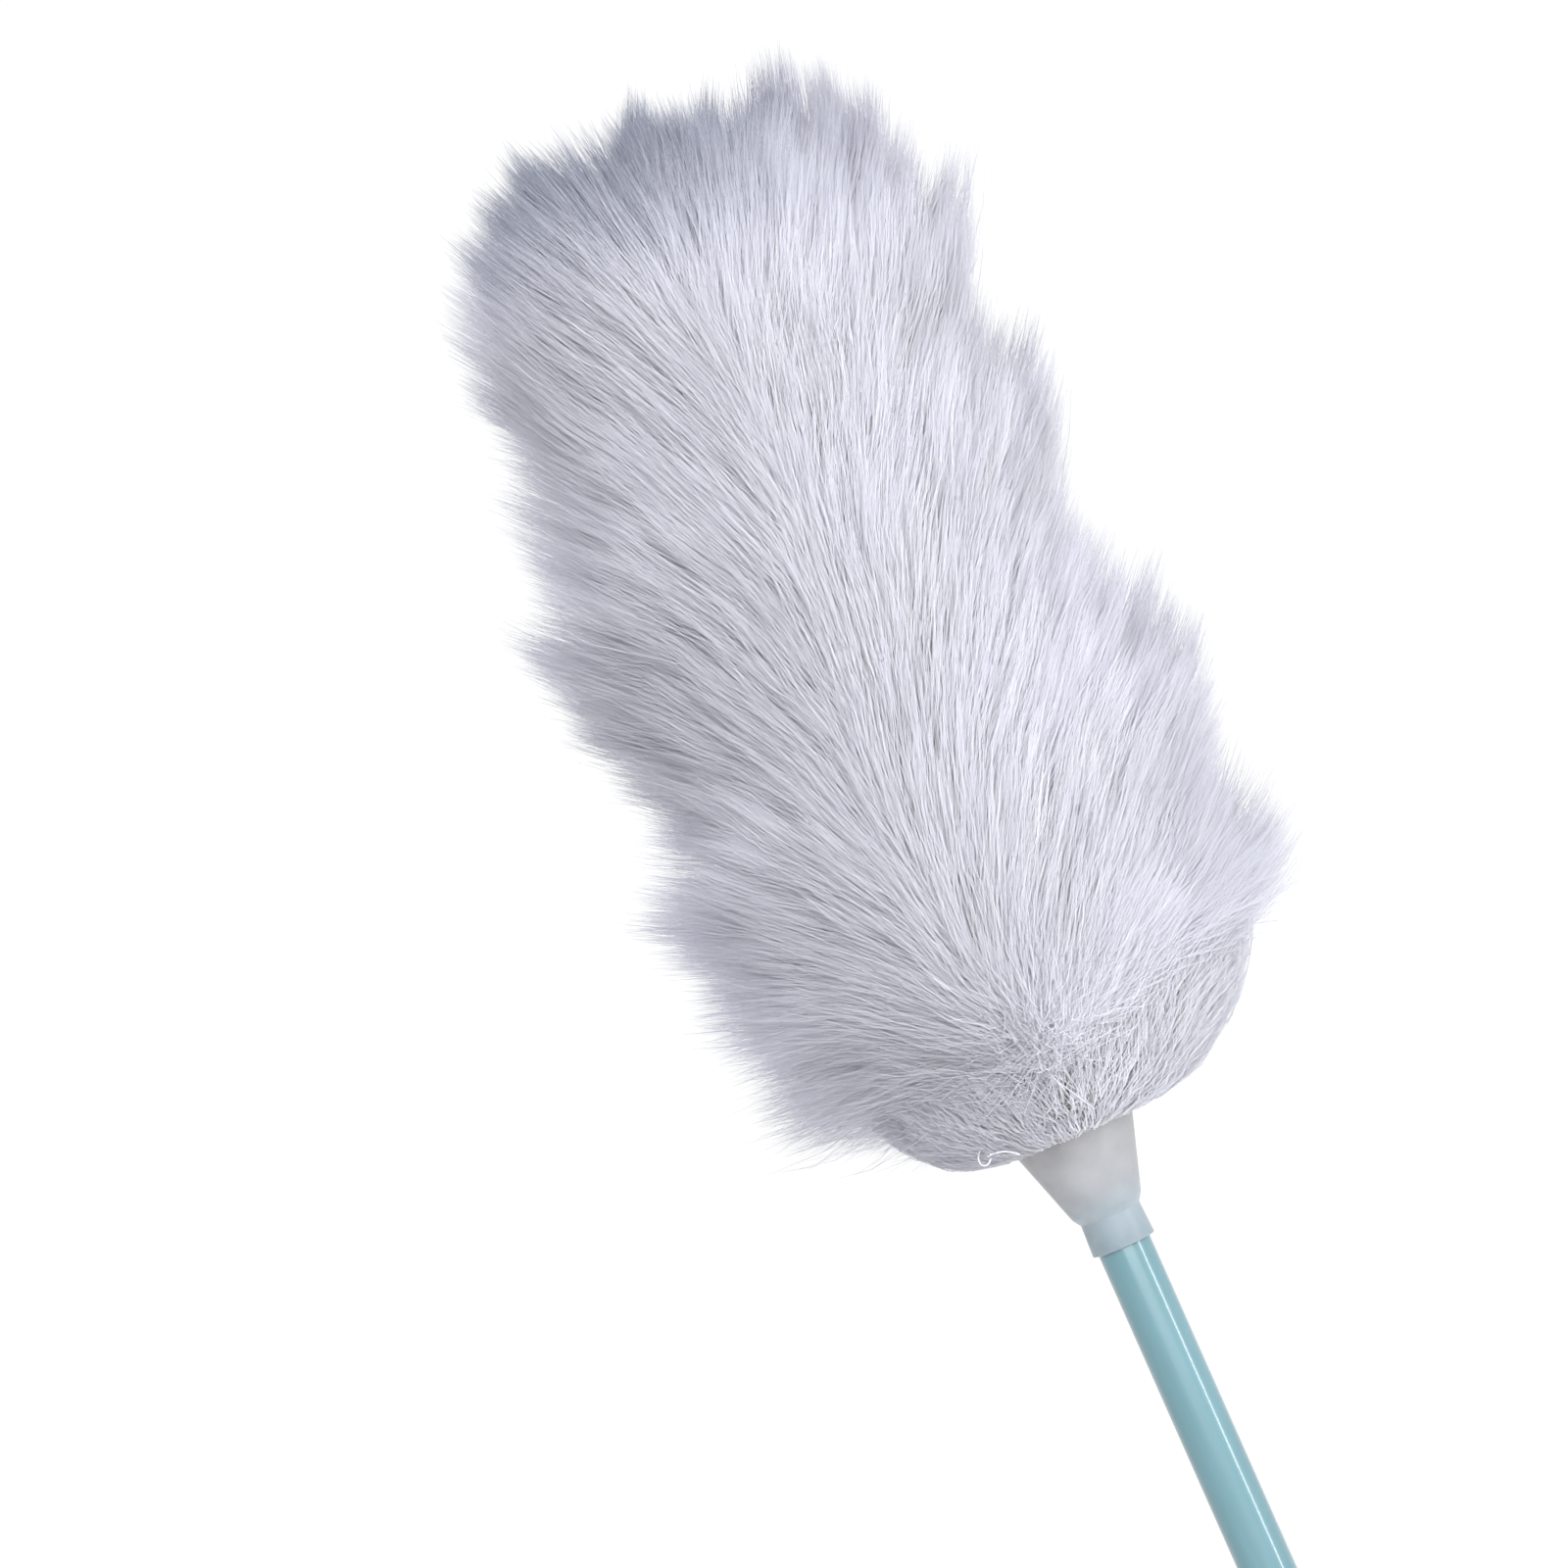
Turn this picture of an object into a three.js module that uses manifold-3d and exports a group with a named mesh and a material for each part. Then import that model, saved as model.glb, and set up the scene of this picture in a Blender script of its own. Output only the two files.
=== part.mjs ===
// Extendable lambswool duster. A strip of long-pile fleece is wound on a core at the top of a coated steel
// tube. That tube slides in a second tube with a grip, and a screwed clamp holds it where it is put.
// Millimetres, +Z up along the handle, origin in the middle of the hanging tab's lowest edge.
import * as THREE from "three";
import { mergeVertices } from "three/addons/utils/BufferGeometryUtils.js";
import Module from "manifold-3d";

const wasm = await Module();
wasm.setup();

// ---- Driving sizes ----------------------------------------------------------------------------------

const FIT = 0.3; // gap between pieces that touch on the real duster
const SEGMENTS = 32; // sides of a round piece
const PIN_SEGMENTS = 12;
const ARC_STEPS = 8;

const TRAVEL = 300; // how far the head pulls out
const STOP_GAP = 2; // spare travel at either end
const BARE_TUBE = 118; // upper tube left showing when the handle is pushed in

const UPPER_TUBE_OD = 17;
const UPPER_TUBE_WALL = 0.8;
const LOWER_TUBE_WALL = 0.9;
const SLIDE_GAP = 1.1; // upper tube to the lower tube's bore
const RUNNING_GAP = 0.2; // foot bush to the lower tube's bore

const PILE_BASE = 38; // ferrule's lower edge to the gathered base of the pile
const HEAD_LENGTH = 348; // fleece pile, gathered base to tip
const PILE_LOW_RADIUS = 98; // widest, near the base
const PILE_LOW_HEIGHT = 70; // base to the widest ring
const PILE_TOP_RADIUS = 78; // where the tip starts to round over
const PILE_TOP_HEIGHT = 68;
const PILE_LIP = 6; // radial width of the pile's edge at its opening
const PILE_CLEARANCE = 1.5; // wound strip to the pile's bore
const PILE_OVER_TIP = 24; // pile above the core's plug

const FERRULE_COLLAR_LENGTH = 10.4;
const FERRULE_COLLAR_WALL = 1.4;
const FERRULE_DRAFT = 0.5; // the collar narrows by this much towards the cone
const FERRULE_FLARE_RISE = 2.6; // short flare between collar and cone
const FERRULE_FLARE_STEP = 1.8;
const FERRULE_CONE_LENGTH = 31;
const FERRULE_CONE_STEP = 9.9; // how far the cone opens
const FERRULE_WALL = 1.2;

const CORE_WALL = 2.2;
const CORE_BASE = 36; // ferrule's lower edge to the core's lower end
const TUBE_IN_CORE = 84;
const STRIP_WIDTH = 36;
const STRIP_PITCH = 40;
const STRIP_THICKNESS = 2.2;
const STRIP_BASE = 12; // core's lower end to the strip's
const STRIP_MARGIN = 2; // strip's upper end to the core's
const STRIP_STEPS_PER_TURN = 20;
const TIP_PLUG_LENGTH = 24;
const TIP_PLUG_CAP = 3;
const THREAD_RADIUS = 0.7;
const THREAD_RISE = 9; // core's lower end to the gathering thread

const PIN_RADIUS = 1.5;
const CORE_PIN_RISE = 6; // core's lower end to the pin
const TACK_RADIUS = 0.7;
const TACK_HEAD_RADIUS = 2.5;
const TACK_HEAD_THICKNESS = 0.8;
const TACK_ANGLE = 0.35; // from the strip's end, round the core

const BUSH_FLANGE = 8;
const BUSH_SPIGOT = 20;
const BUSH_BORE_RADIUS = 4;
const FOOT_PIN_RISE = 9; // flange's top to the pin

const HUB_LENGTH = 26; // clamp body over the lower tube
const HUB_WALL = 2.7;
const HUB_ROUND = 1.5;
const SHOULDER_RISE = 2; // hub's top to the shoulder that stops the foot bush
const SPIGOT_LENGTH = 16;
const SPIGOT_WALL = 1.5;
const SEAT_DEPTH = 6; // taper that closes the split ring
const SEAT_STEP = 1; // how far the taper opens
const RING_WALL = 0.9; // split ring at its thin end
const RING_SLOT = 2;
const RING_FLANGE_STEP = 0.8; // ring's flange past its taper
const NUT_LENGTH = 29;
const NUT_LIP = 4;
const NUT_WALL = 2.7;
const NUT_GAP = 1; // hub to nut when the clamp is tight
const NUT_FLUTES = 16;
const NUT_FLUTE_DEPTH = 0.9;
const FLUTE_STEPS = 6;
const RIVET_RADIUS = 1.5;

const GRIP_LENGTH = 120;
const GRIP_WALL = 3.7;
const GRIP_GROOVES = 9;
const GRIP_GROOVE_WIDTH = 3;
const GRIP_GROOVE_DEPTH = 0.8;
const GRIP_ROUND = 2;

const TAB_LENGTH = 24;
const TAB_WIDTH = 24;
const TAB_THICKNESS = 8;
const TAB_HOLE_RADIUS = 5.5;
const TAB_ROOT = 2; // tab let into the cap's flange
const CAP_FLANGE = 8;
const CAP_STEP = 3.5; // flange past the lower tube
const CAP_ROUND = 2;
const CAP_PLUG_LENGTH = 24;
const CAP_PIN_RISE = 10; // flange's top to the pin

// ---- Sizes worked out from them ---------------------------------------------------------------------

const upperRadius = UPPER_TUBE_OD / 2;
const upperBore = upperRadius - UPPER_TUBE_WALL;
const overUpper = upperRadius + FIT; // bore of whatever the upper tube goes through
const lowerBore = upperRadius + SLIDE_GAP;
const lowerRadius = lowerBore + LOWER_TUBE_WALL;
const overLower = lowerRadius + FIT;

const flangeTop = TAB_LENGTH + CAP_FLANGE;
const plugTop = flangeTop + CAP_PLUG_LENGTH;
const bushBase = plugTop + STOP_GAP;
const bushTop = bushBase + BUSH_FLANGE;
const shoulder = bushTop + TRAVEL + STOP_GAP;
const hubTop = shoulder - SHOULDER_RISE;
const spigotTop = hubTop + SPIGOT_LENGTH;
const nutBase = hubTop + NUT_GAP;
const nutTop = nutBase + NUT_LENGTH;
const collarBase = nutTop + BARE_TUBE; // the head group's own zero

const hubRadius = overLower + HUB_WALL;
const rivetHeight = hubTop - HUB_LENGTH / 2;
const seatLowRadius = overUpper + RING_WALL + FIT;
const seatHighRadius = seatLowRadius + SEAT_STEP;
const spigotRadius = seatHighRadius + SPIGOT_WALL;
const nutBore = spigotRadius + FIT;
const nutRadius = nutBore + NUT_WALL;

const coneBase = FERRULE_COLLAR_LENGTH + FERRULE_FLARE_RISE;
const coneTop = coneBase + FERRULE_CONE_LENGTH;
const collarTopRadius = overUpper + FERRULE_COLLAR_WALL - FERRULE_DRAFT;
const coneLowRadius = collarTopRadius + FERRULE_FLARE_STEP;

const coreRadius = overUpper + CORE_WALL;
const stripInner = coreRadius + FIT;
const stripOuter = stripInner + STRIP_THICKNESS;
const pileBore = stripOuter + PILE_CLEARANCE;
const pileTip = PILE_BASE + HEAD_LENGTH;
const plugCapTop = pileTip - PILE_OVER_TIP - FIT;
const coreTop = plugCapTop - TIP_PLUG_CAP - FIT;
const stripLow = CORE_BASE + STRIP_BASE;
const stripTurns = (coreTop - STRIP_MARGIN - stripLow - STRIP_WIDTH) / STRIP_PITCH;
const stripAngle = 2 * Math.PI * stripTurns;
const tackAngles = { base_tack: TACK_ANGLE, top_tack: stripAngle - TACK_ANGLE };

const corePinHeight = CORE_BASE + CORE_PIN_RISE;
const footPinHeight = bushTop + FOOT_PIN_RISE - collarBase;
const capPinHeight = flangeTop + CAP_PIN_RISE;

// ---- Helpers ----------------------------------------------------------------------------------------

// A piece turned about Z from [radius, height] points that run up the outside. An outline that doesn't
// start on the axis is a ring, and closes on itself.
function turned(outline) {
  const points = outline.map(([radius, height]) => new THREE.Vector2(radius, height));
  if (points[0].x > 0) points.push(points[0].clone());
  return new THREE.LatheGeometry(points, SEGMENTS).rotateX(Math.PI / 2);
}

// A round tube of one bore.
function tube(bore, radius, from, to) {
  return turned([
    [bore, from],
    [radius, from],
    [radius, to],
    [bore, to],
  ]);
}

// A pin that lies across the handle's axis, from one distance out to another.
function crossPin(radius, from, to, height, angle = 0) {
  return new THREE.CylinderGeometry(radius, radius, to - from, PIN_SEGMENTS)
    .rotateZ(Math.PI / 2)
    .translate((from + to) / 2, 0, height)
    .rotateZ(angle);
}

// A pin right through a tube, its ends just under the tube's outside.
function throughPin(tubeRadius, height) {
  return crossPin(PIN_RADIUS, FIT - tubeRadius, tubeRadius - FIT, height);
}

// Points along an ellipse centred on the axis, from one angle to another.
function ellipseArc(centre, radius, height, from, to) {
  const arc = new THREE.EllipseCurve(0, centre, radius, height, from, to);
  return arc.getPoints(ARC_STEPS).map((point) => [point.x, point.y]);
}

function solid(geometry) {
  const bare = geometry.clone();
  bare.deleteAttribute("normal");
  bare.deleteAttribute("uv");
  const merged = mergeVertices(bare, 1e-3);
  const mesh = new wasm.Mesh({
    numProp: 3,
    vertProperties: merged.attributes.position.array,
    triVerts: new Uint32Array(merged.index.array),
  });
  return new wasm.Manifold(mesh);
}

function surface(body) {
  const mesh = body.getMesh();
  const geometry = new THREE.BufferGeometry();
  geometry.setAttribute("position", new THREE.BufferAttribute(mesh.vertProperties, 3));
  geometry.setIndex(new THREE.BufferAttribute(mesh.triVerts, 1));
  geometry.computeVertexNormals();
  return geometry;
}

function joined(first, second) {
  return surface(solid(first).add(solid(second)));
}

function cut(geometry, ...tools) {
  const left = tools.reduce((body, tool) => body.subtract(solid(tool)), solid(geometry));
  return surface(left);
}

function mesh(name, geometry, material) {
  const made = new THREE.Mesh(geometry, material);
  made.name = name;
  return made;
}

// ---- Materials --------------------------------------------------------------------------------------

function finish(color, roughness, metalness = 0) {
  return new THREE.MeshStandardMaterial({ color, roughness, metalness });
}

const fleeceWhite = finish("#dcdee8", 0.95);
const knitWhite = finish("#d9d6cf", 0.9);
const threadWhite = finish("#f2f2f2", 0.8);
const corePlastic = finish("#c9c9c4", 0.5);
const clearPlastic = finish("#d7dae0", 0.35);
const coatedTeal = finish("#7fb6be", 0.25);
const bareSteel = finish("#b4b6b8", 0.35, 1);
const whiteNylon = finish("#e6e6e2", 0.5);
const darkPlastic = finish("#4a5a60", 0.45);
const softGrip = finish("#3d4a50", 0.8);

// ---- Fleece head ------------------------------------------------------------------------------------

// Outside radius of the ferrule's cone at a height above its lower edge.
function coneRadius(height) {
  return coneLowRadius + (FERRULE_CONE_STEP * (height - coneBase)) / FERRULE_CONE_LENGTH;
}

// The pile as one soft body: a full round base gathered in to the ferrule, a slow taper and a round tip.
function fleecePile() {
  const lipAngle = -Math.acos((coneRadius(PILE_BASE) + FIT + PILE_LIP) / PILE_LOW_RADIUS);
  const lowCentre = PILE_BASE - PILE_LOW_HEIGHT * Math.sin(lipAngle);
  const topCentre = pileTip - PILE_TOP_HEIGHT;
  const ledge = coneTop + FIT * 2;
  return turned([
    [0, plugCapTop + FIT],
    [pileBore, plugCapTop + FIT],
    [pileBore, ledge],
    [coneRadius(ledge) + FIT, ledge],
    [coneRadius(PILE_BASE) + FIT, PILE_BASE],
    ...ellipseArc(lowCentre, PILE_LOW_RADIUS, PILE_LOW_HEIGHT, lipAngle, 0),
    ...ellipseArc(topCentre, PILE_TOP_RADIUS, PILE_TOP_HEIGHT, 0, Math.PI / 2),
  ]);
}

// Height of the strip's middle line at an angle from its lower end.
function stripHeight(angle) {
  return stripLow + STRIP_WIDTH / 2 + (STRIP_PITCH * angle) / (2 * Math.PI);
}

// The pile's knitted backing, one flat strip wound up the core as a helix.
function fleeceBacking() {
  const steps = Math.ceil(stripTurns * STRIP_STEPS_PER_TURN);
  const strip = new THREE.BoxGeometry(1, STRIP_WIDTH, STRIP_THICKNESS, steps, 1, 1);
  const places = strip.attributes.position;
  for (let i = 0; i < places.count; i += 1) {
    const angle = (places.getX(i) + 0.5) * stripAngle;
    const radius = stripInner + STRIP_THICKNESS / 2 + places.getZ(i);
    const height = stripHeight(angle) + places.getY(i);
    places.setXYZ(i, radius * Math.cos(angle), radius * Math.sin(angle), height);
  }
  return cut(strip, ...tackHoles());
}

function tackHoles() {
  return Object.values(tackAngles).map((angle) =>
    crossPin(TACK_RADIUS + FIT, 0, pileBore, stripHeight(angle), angle),
  );
}

// A flat-headed tack that holds one end of the strip to the core.
function tack(angle) {
  const height = stripHeight(angle);
  const under = stripOuter + FIT;
  const shank = crossPin(TACK_RADIUS, overUpper + FIT, under + TACK_HEAD_THICKNESS / 2, height, angle);
  const head = crossPin(TACK_HEAD_RADIUS, under, under + TACK_HEAD_THICKNESS, height, angle);
  return joined(shank, head);
}

function windingCore() {
  const pinHole = crossPin(PIN_RADIUS + FIT, -pileBore, pileBore, corePinHeight);
  return cut(tube(overUpper, coreRadius, CORE_BASE, coreTop), pinHole, ...tackHoles());
}

function tipPlug() {
  return turned([
    [0, coreTop - TIP_PLUG_LENGTH],
    [upperRadius, coreTop - TIP_PLUG_LENGTH],
    [upperRadius, coreTop + FIT],
    [coreRadius, coreTop + FIT],
    [coreRadius, plugCapTop],
    [0, plugCapTop],
  ]);
}

// Thread tied round the core: it draws the fleece's lower hem in.
function gatherThread() {
  const ring = coreRadius + THREAD_RADIUS + FIT * 2;
  const height = CORE_BASE + THREAD_RISE;
  return new THREE.TorusGeometry(ring, THREAD_RADIUS, ARC_STEPS, SEGMENTS).translate(0, 0, height);
}

// Moulded sleeve that grips the tube with its collar and covers the gathered fleece with its cone.
function ferrule() {
  const coneHighRadius = coneRadius(coneTop);
  return turned([
    [overUpper, 0],
    [overUpper + FERRULE_COLLAR_WALL, 0],
    [collarTopRadius, FERRULE_COLLAR_LENGTH],
    [coneLowRadius, coneBase],
    [coneHighRadius, coneTop],
    [coneHighRadius - FERRULE_WALL, coneTop],
    [coneLowRadius - FERRULE_WALL, coneBase],
    [overUpper, FERRULE_COLLAR_LENGTH],
  ]);
}

// ---- Upper tube -------------------------------------------------------------------------------------

// Steel tube with a coloured coat, from the foot bush up into the core.
function upperTube() {
  const low = bushTop + FIT - collarBase;
  const pinReach = upperRadius + FIT;
  return cut(
    tube(upperBore, upperRadius, low, CORE_BASE + TUBE_IN_CORE),
    crossPin(PIN_RADIUS + FIT, -pinReach, pinReach, corePinHeight),
    crossPin(PIN_RADIUS + FIT, -pinReach, pinReach, footPinHeight),
  );
}

// Bush at the upper tube's foot: its flange slides in the lower tube and meets the clamp's shoulder.
function footBush() {
  const base = bushBase - collarBase;
  const flange = bushTop - collarBase;
  const spigot = upperBore - FIT;
  const body = turned([
    [BUSH_BORE_RADIUS, base],
    [lowerBore - RUNNING_GAP, base],
    [lowerBore - RUNNING_GAP, flange],
    [spigot, flange],
    [spigot, flange + BUSH_SPIGOT],
    [BUSH_BORE_RADIUS, flange + BUSH_SPIGOT],
  ]);
  return cut(body, crossPin(PIN_RADIUS + FIT, -upperRadius, upperRadius, footPinHeight));
}

// ---- Screwed clamp ----------------------------------------------------------------------------------

// Body fixed on the lower tube: a hub, a threaded spigot and a tapered seat for the split ring.
function clampBody() {
  const seatBase = spigotTop - SEAT_DEPTH;
  const body = turned([
    [overLower, hubTop - HUB_LENGTH],
    [hubRadius - HUB_ROUND, hubTop - HUB_LENGTH],
    [hubRadius, hubTop - HUB_LENGTH + HUB_ROUND],
    [hubRadius, hubTop],
    [spigotRadius, hubTop],
    [spigotRadius, spigotTop],
    [seatHighRadius, spigotTop],
    [seatLowRadius, seatBase],
    [overUpper, seatBase],
    [overUpper, shoulder],
    [overLower, shoulder],
  ]);
  return cut(body, clampRivetHole());
}

function clampRivetHole() {
  return crossPin(RIVET_RADIUS + FIT, 0, hubRadius * 2, rivetHeight);
}

// Short rivet through the hub and the lower tube's wall, clear of the bore.
function clampRivet() {
  return crossPin(RIVET_RADIUS, lowerBore + FIT, hubRadius - FIT, rivetHeight);
}

// Split ring with a tapered foot: the nut drives it into the seat and it closes on the upper tube.
function clampRing() {
  const foot = spigotTop - SEAT_DEPTH + FIT * 2;
  const flange = spigotTop + FIT * 2;
  const flangeRadius = seatHighRadius - FIT + RING_FLANGE_STEP;
  const lip = nutTop - NUT_LIP - FIT;
  const ring = turned([
    [overUpper, foot],
    [seatLowRadius - FIT, foot],
    [seatHighRadius - FIT, spigotTop],
    [seatHighRadius - FIT, flange],
    [flangeRadius, flange],
    [flangeRadius, lip],
    [overUpper, lip],
  ]);
  const slot = new THREE.BoxGeometry(hubRadius, RING_SLOT, NUT_LENGTH * 2);
  return cut(ring, slot.translate(hubRadius / 2, 0, spigotTop));
}

// Fluted nut that screws down over the spigot, with a lip that bears on the split ring.
function lockNut() {
  const outline = new THREE.Shape();
  const steps = NUT_FLUTES * FLUTE_STEPS;
  for (let i = 0; i < steps; i += 1) {
    const angle = (2 * Math.PI * i) / steps;
    const radius = nutRadius - NUT_FLUTE_DEPTH * Math.max(0, Math.cos(NUT_FLUTES * angle));
    const place = [radius * Math.cos(angle), radius * Math.sin(angle)];
    if (i === 0) outline.moveTo(...place);
    else outline.lineTo(...place);
  }
  const blank = new THREE.ExtrudeGeometry(outline, { depth: NUT_LENGTH, bevelEnabled: false });
  const bore = turned([
    [0, hubTop],
    [nutBore, hubTop],
    [nutBore, nutTop - NUT_LIP],
    [overUpper, nutTop - NUT_LIP],
    [overUpper, nutTop + NUT_LIP],
    [0, nutTop + NUT_LIP],
  ]);
  return cut(blank.translate(0, 0, nutBase), bore);
}

// ---- Lower handle -----------------------------------------------------------------------------------

function lowerTube() {
  const pinReach = lowerRadius + FIT;
  return cut(
    tube(lowerBore, lowerRadius, flangeTop + FIT, shoulder - FIT),
    crossPin(PIN_RADIUS + FIT, -pinReach, pinReach, capPinHeight),
    clampRivetHole(),
  );
}

// Moulded rubber sleeve with rounded ends and evenly spaced finger grooves.
function gripSleeve() {
  const radius = overLower + GRIP_WALL;
  const low = flangeTop + FIT;
  const high = low + GRIP_LENGTH;
  const pitch = GRIP_LENGTH / (GRIP_GROOVES + 1);
  const outside = [
    [radius - GRIP_ROUND, low],
    [radius, low + GRIP_ROUND],
  ];
  for (let i = 1; i <= GRIP_GROOVES; i += 1) {
    const middle = low + i * pitch;
    outside.push([radius, middle - GRIP_GROOVE_WIDTH / 2]);
    outside.push([radius - GRIP_GROOVE_DEPTH, middle]);
    outside.push([radius, middle + GRIP_GROOVE_WIDTH / 2]);
  }
  outside.push([radius, high - GRIP_ROUND], [radius - GRIP_ROUND, high]);
  return turned([[overLower, low], ...outside, [overLower, high]]);
}

// Cap that plugs the lower tube, with a flat tab to hang the duster by.
function endCap() {
  const capRadius = lowerRadius + CAP_STEP;
  const plugRadius = lowerBore - FIT;
  const cap = turned([
    [0, TAB_LENGTH],
    [capRadius - CAP_ROUND, TAB_LENGTH],
    [capRadius, TAB_LENGTH + CAP_ROUND],
    [capRadius, flangeTop],
    [plugRadius, flangeTop],
    [plugRadius, plugTop],
    [0, plugTop],
  ]);
  const half = TAB_WIDTH / 2;
  const outline = new THREE.Shape();
  outline.moveTo(half, TAB_LENGTH + TAB_ROOT);
  outline.lineTo(-half, TAB_LENGTH + TAB_ROOT);
  outline.absarc(0, half, half, Math.PI, 2 * Math.PI, false);
  const hole = new THREE.Path();
  hole.absarc(0, half, TAB_HOLE_RADIUS, 0, 2 * Math.PI, true);
  outline.holes.push(hole);
  const tab = new THREE.ExtrudeGeometry(outline, {
    depth: TAB_THICKNESS,
    bevelEnabled: false,
    curveSegments: SEGMENTS / 2,
  })
    .rotateX(Math.PI / 2)
    .translate(0, TAB_THICKNESS / 2, 0);
  const pinHole = crossPin(PIN_RADIUS + FIT, -lowerRadius, lowerRadius, capPinHeight);
  return cut(joined(cap, tab), pinHole);
}

// ---- Assembly ---------------------------------------------------------------------------------------

const head = new THREE.Group();
head.position.z = collarBase;
head.add(
  mesh("fleece_pile", fleecePile(), fleeceWhite),
  mesh("fleece_backing", fleeceBacking(), knitWhite),
  mesh("winding_core", windingCore(), corePlastic),
  mesh("tip_plug", tipPlug(), corePlastic),
  mesh("gather_thread", gatherThread(), threadWhite),
  mesh("ferrule", ferrule(), clearPlastic),
  mesh("upper_tube", upperTube(), coatedTeal),
  mesh("foot_bush", footBush(), whiteNylon),
);
for (const [name, angle] of Object.entries(tackAngles)) head.add(mesh(name, tack(angle), bareSteel));
head.add(
  mesh("core_pin", throughPin(coreRadius, corePinHeight), bareSteel),
  mesh("foot_pin", throughPin(upperRadius, footPinHeight), bareSteel),
);

const clamp = new THREE.Group();
clamp.add(mesh("clamp_ring", clampRing(), whiteNylon), mesh("lock_nut", lockNut(), darkPlastic));

const handle = new THREE.Group();
handle.add(
  mesh("lower_tube", lowerTube(), coatedTeal),
  mesh("clamp_body", clampBody(), darkPlastic),
  mesh("clamp_rivet", clampRivet(), bareSteel),
  mesh("grip_sleeve", gripSleeve(), softGrip),
  mesh("end_cap", endCap(), darkPlastic),
  mesh("cap_pin", throughPin(lowerRadius, capPinHeight), bareSteel),
);

const duster = new THREE.Group();
duster.add(handle, clamp, head);

export default duster;
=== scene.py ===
import math

import bmesh
import bpy
import numpy as np
from mathutils import Matrix, Vector, kdtree, noise


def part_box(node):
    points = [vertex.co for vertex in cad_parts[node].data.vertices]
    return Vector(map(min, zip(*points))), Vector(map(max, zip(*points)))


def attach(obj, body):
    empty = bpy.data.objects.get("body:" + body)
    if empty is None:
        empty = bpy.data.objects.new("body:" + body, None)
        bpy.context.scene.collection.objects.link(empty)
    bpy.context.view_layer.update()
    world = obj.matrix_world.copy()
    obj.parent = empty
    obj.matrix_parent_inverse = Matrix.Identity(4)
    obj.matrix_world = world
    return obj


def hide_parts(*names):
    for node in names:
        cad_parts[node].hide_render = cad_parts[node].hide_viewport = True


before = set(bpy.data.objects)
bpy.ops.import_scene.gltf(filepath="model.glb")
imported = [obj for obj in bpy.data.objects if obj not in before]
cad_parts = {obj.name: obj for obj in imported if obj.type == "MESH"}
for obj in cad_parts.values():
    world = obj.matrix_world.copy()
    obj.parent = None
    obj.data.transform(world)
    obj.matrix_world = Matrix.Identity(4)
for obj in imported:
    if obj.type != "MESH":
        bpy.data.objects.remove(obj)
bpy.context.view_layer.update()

MM = 0.001

# ---- Camera, light and floor ----
# A long lens looks square to the handle, rolled so that the head leans up and to the left. A large soft lamp
# stands high in front, a narrow one on the right and one behind, and a white surround lights the rest.

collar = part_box("ferrule")[0].z
LEAN = math.radians(23.9)
VIEW_WIDTH = 480 * MM
VIEW_DISTANCE = 1.8
SENSOR = 36
view_centre = Vector((-38 * MM, 0, collar + 171 * MM))

scene = bpy.context.scene
camera_data = bpy.data.cameras.new("camera")
camera_data.sensor_width = SENSOR
camera_data.lens = SENSOR * VIEW_DISTANCE / VIEW_WIDTH
camera = bpy.data.objects.new("camera", camera_data)
camera.matrix_world = (
    Matrix.Translation(view_centre - Vector((0, VIEW_DISTANCE, 0)))
    @ Matrix.Rotation(math.pi / 2, 4, "X")
    @ Matrix.Rotation(-LEAN, 4, "Z")
)
scene.collection.objects.link(camera)
scene.camera = camera
scene.view_settings.view_transform = "Standard"


def soft_box(name, place, width, height, power):
    """A soft lamp that faces the middle of the head."""
    data = bpy.data.lights.new(name, "AREA")
    data.shape = "RECTANGLE"
    data.size = width
    data.size_y = height
    data.energy = power
    lamp = bpy.data.objects.new(name, data)
    lamp.location = place
    lamp.rotation_euler = (view_centre - Vector(place)).to_track_quat("-Z", "Y").to_euler()
    scene.collection.objects.link(lamp)


soft_box("front_box", (0.35, -2.1, collar + 0.68), 1.8, 1.1, 54)
soft_box("side_strip", (1.9, -1.0, collar + 0.1), 0.25, 1.8, 16)
soft_box("back_box", (-0.6, 2.1, collar + 1.1), 1.6, 1.2, 42)


def linear(colour):
    """An sRGB hex colour as linear RGBA."""
    parts = [int(colour[i:i + 2], 16) / 255 for i in (1, 3, 5)]
    return [c / 12.92 if c <= 0.04045 else ((c + 0.055) / 1.055) ** 2.4 for c in parts] + [1.0]


def repeats(size):
    """Texture scale that makes a pattern's features a size in millimetres wide."""
    return 1 / (size * MM)


def add(tree, kind, values=None, links=None, stops=(), **settings):
    """Adds one shader node with its settings, socket values, feeding sockets and (place, colour) stops."""
    node = tree.nodes.new(kind)
    for name, value in settings.items():
        setattr(node, name, value)
    for socket, value in (values or {}).items():
        node.inputs[socket].default_value = value
    for socket, source in (links or {}).items():
        tree.links.new(source, node.inputs[socket])
    for number, (place, colour) in enumerate(stops):
        if number == len(node.color_ramp.elements):
            node.color_ramp.elements.new(1.0)
        node.color_ramp.elements[number].position = place
        node.color_ramp.elements[number].color = linear(colour)
    return node


def new_material(name):
    """An empty node material and its node tree."""
    material = bpy.data.materials.new(name)
    material.use_nodes = True
    material.node_tree.nodes.clear()
    return material, material.node_tree


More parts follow.
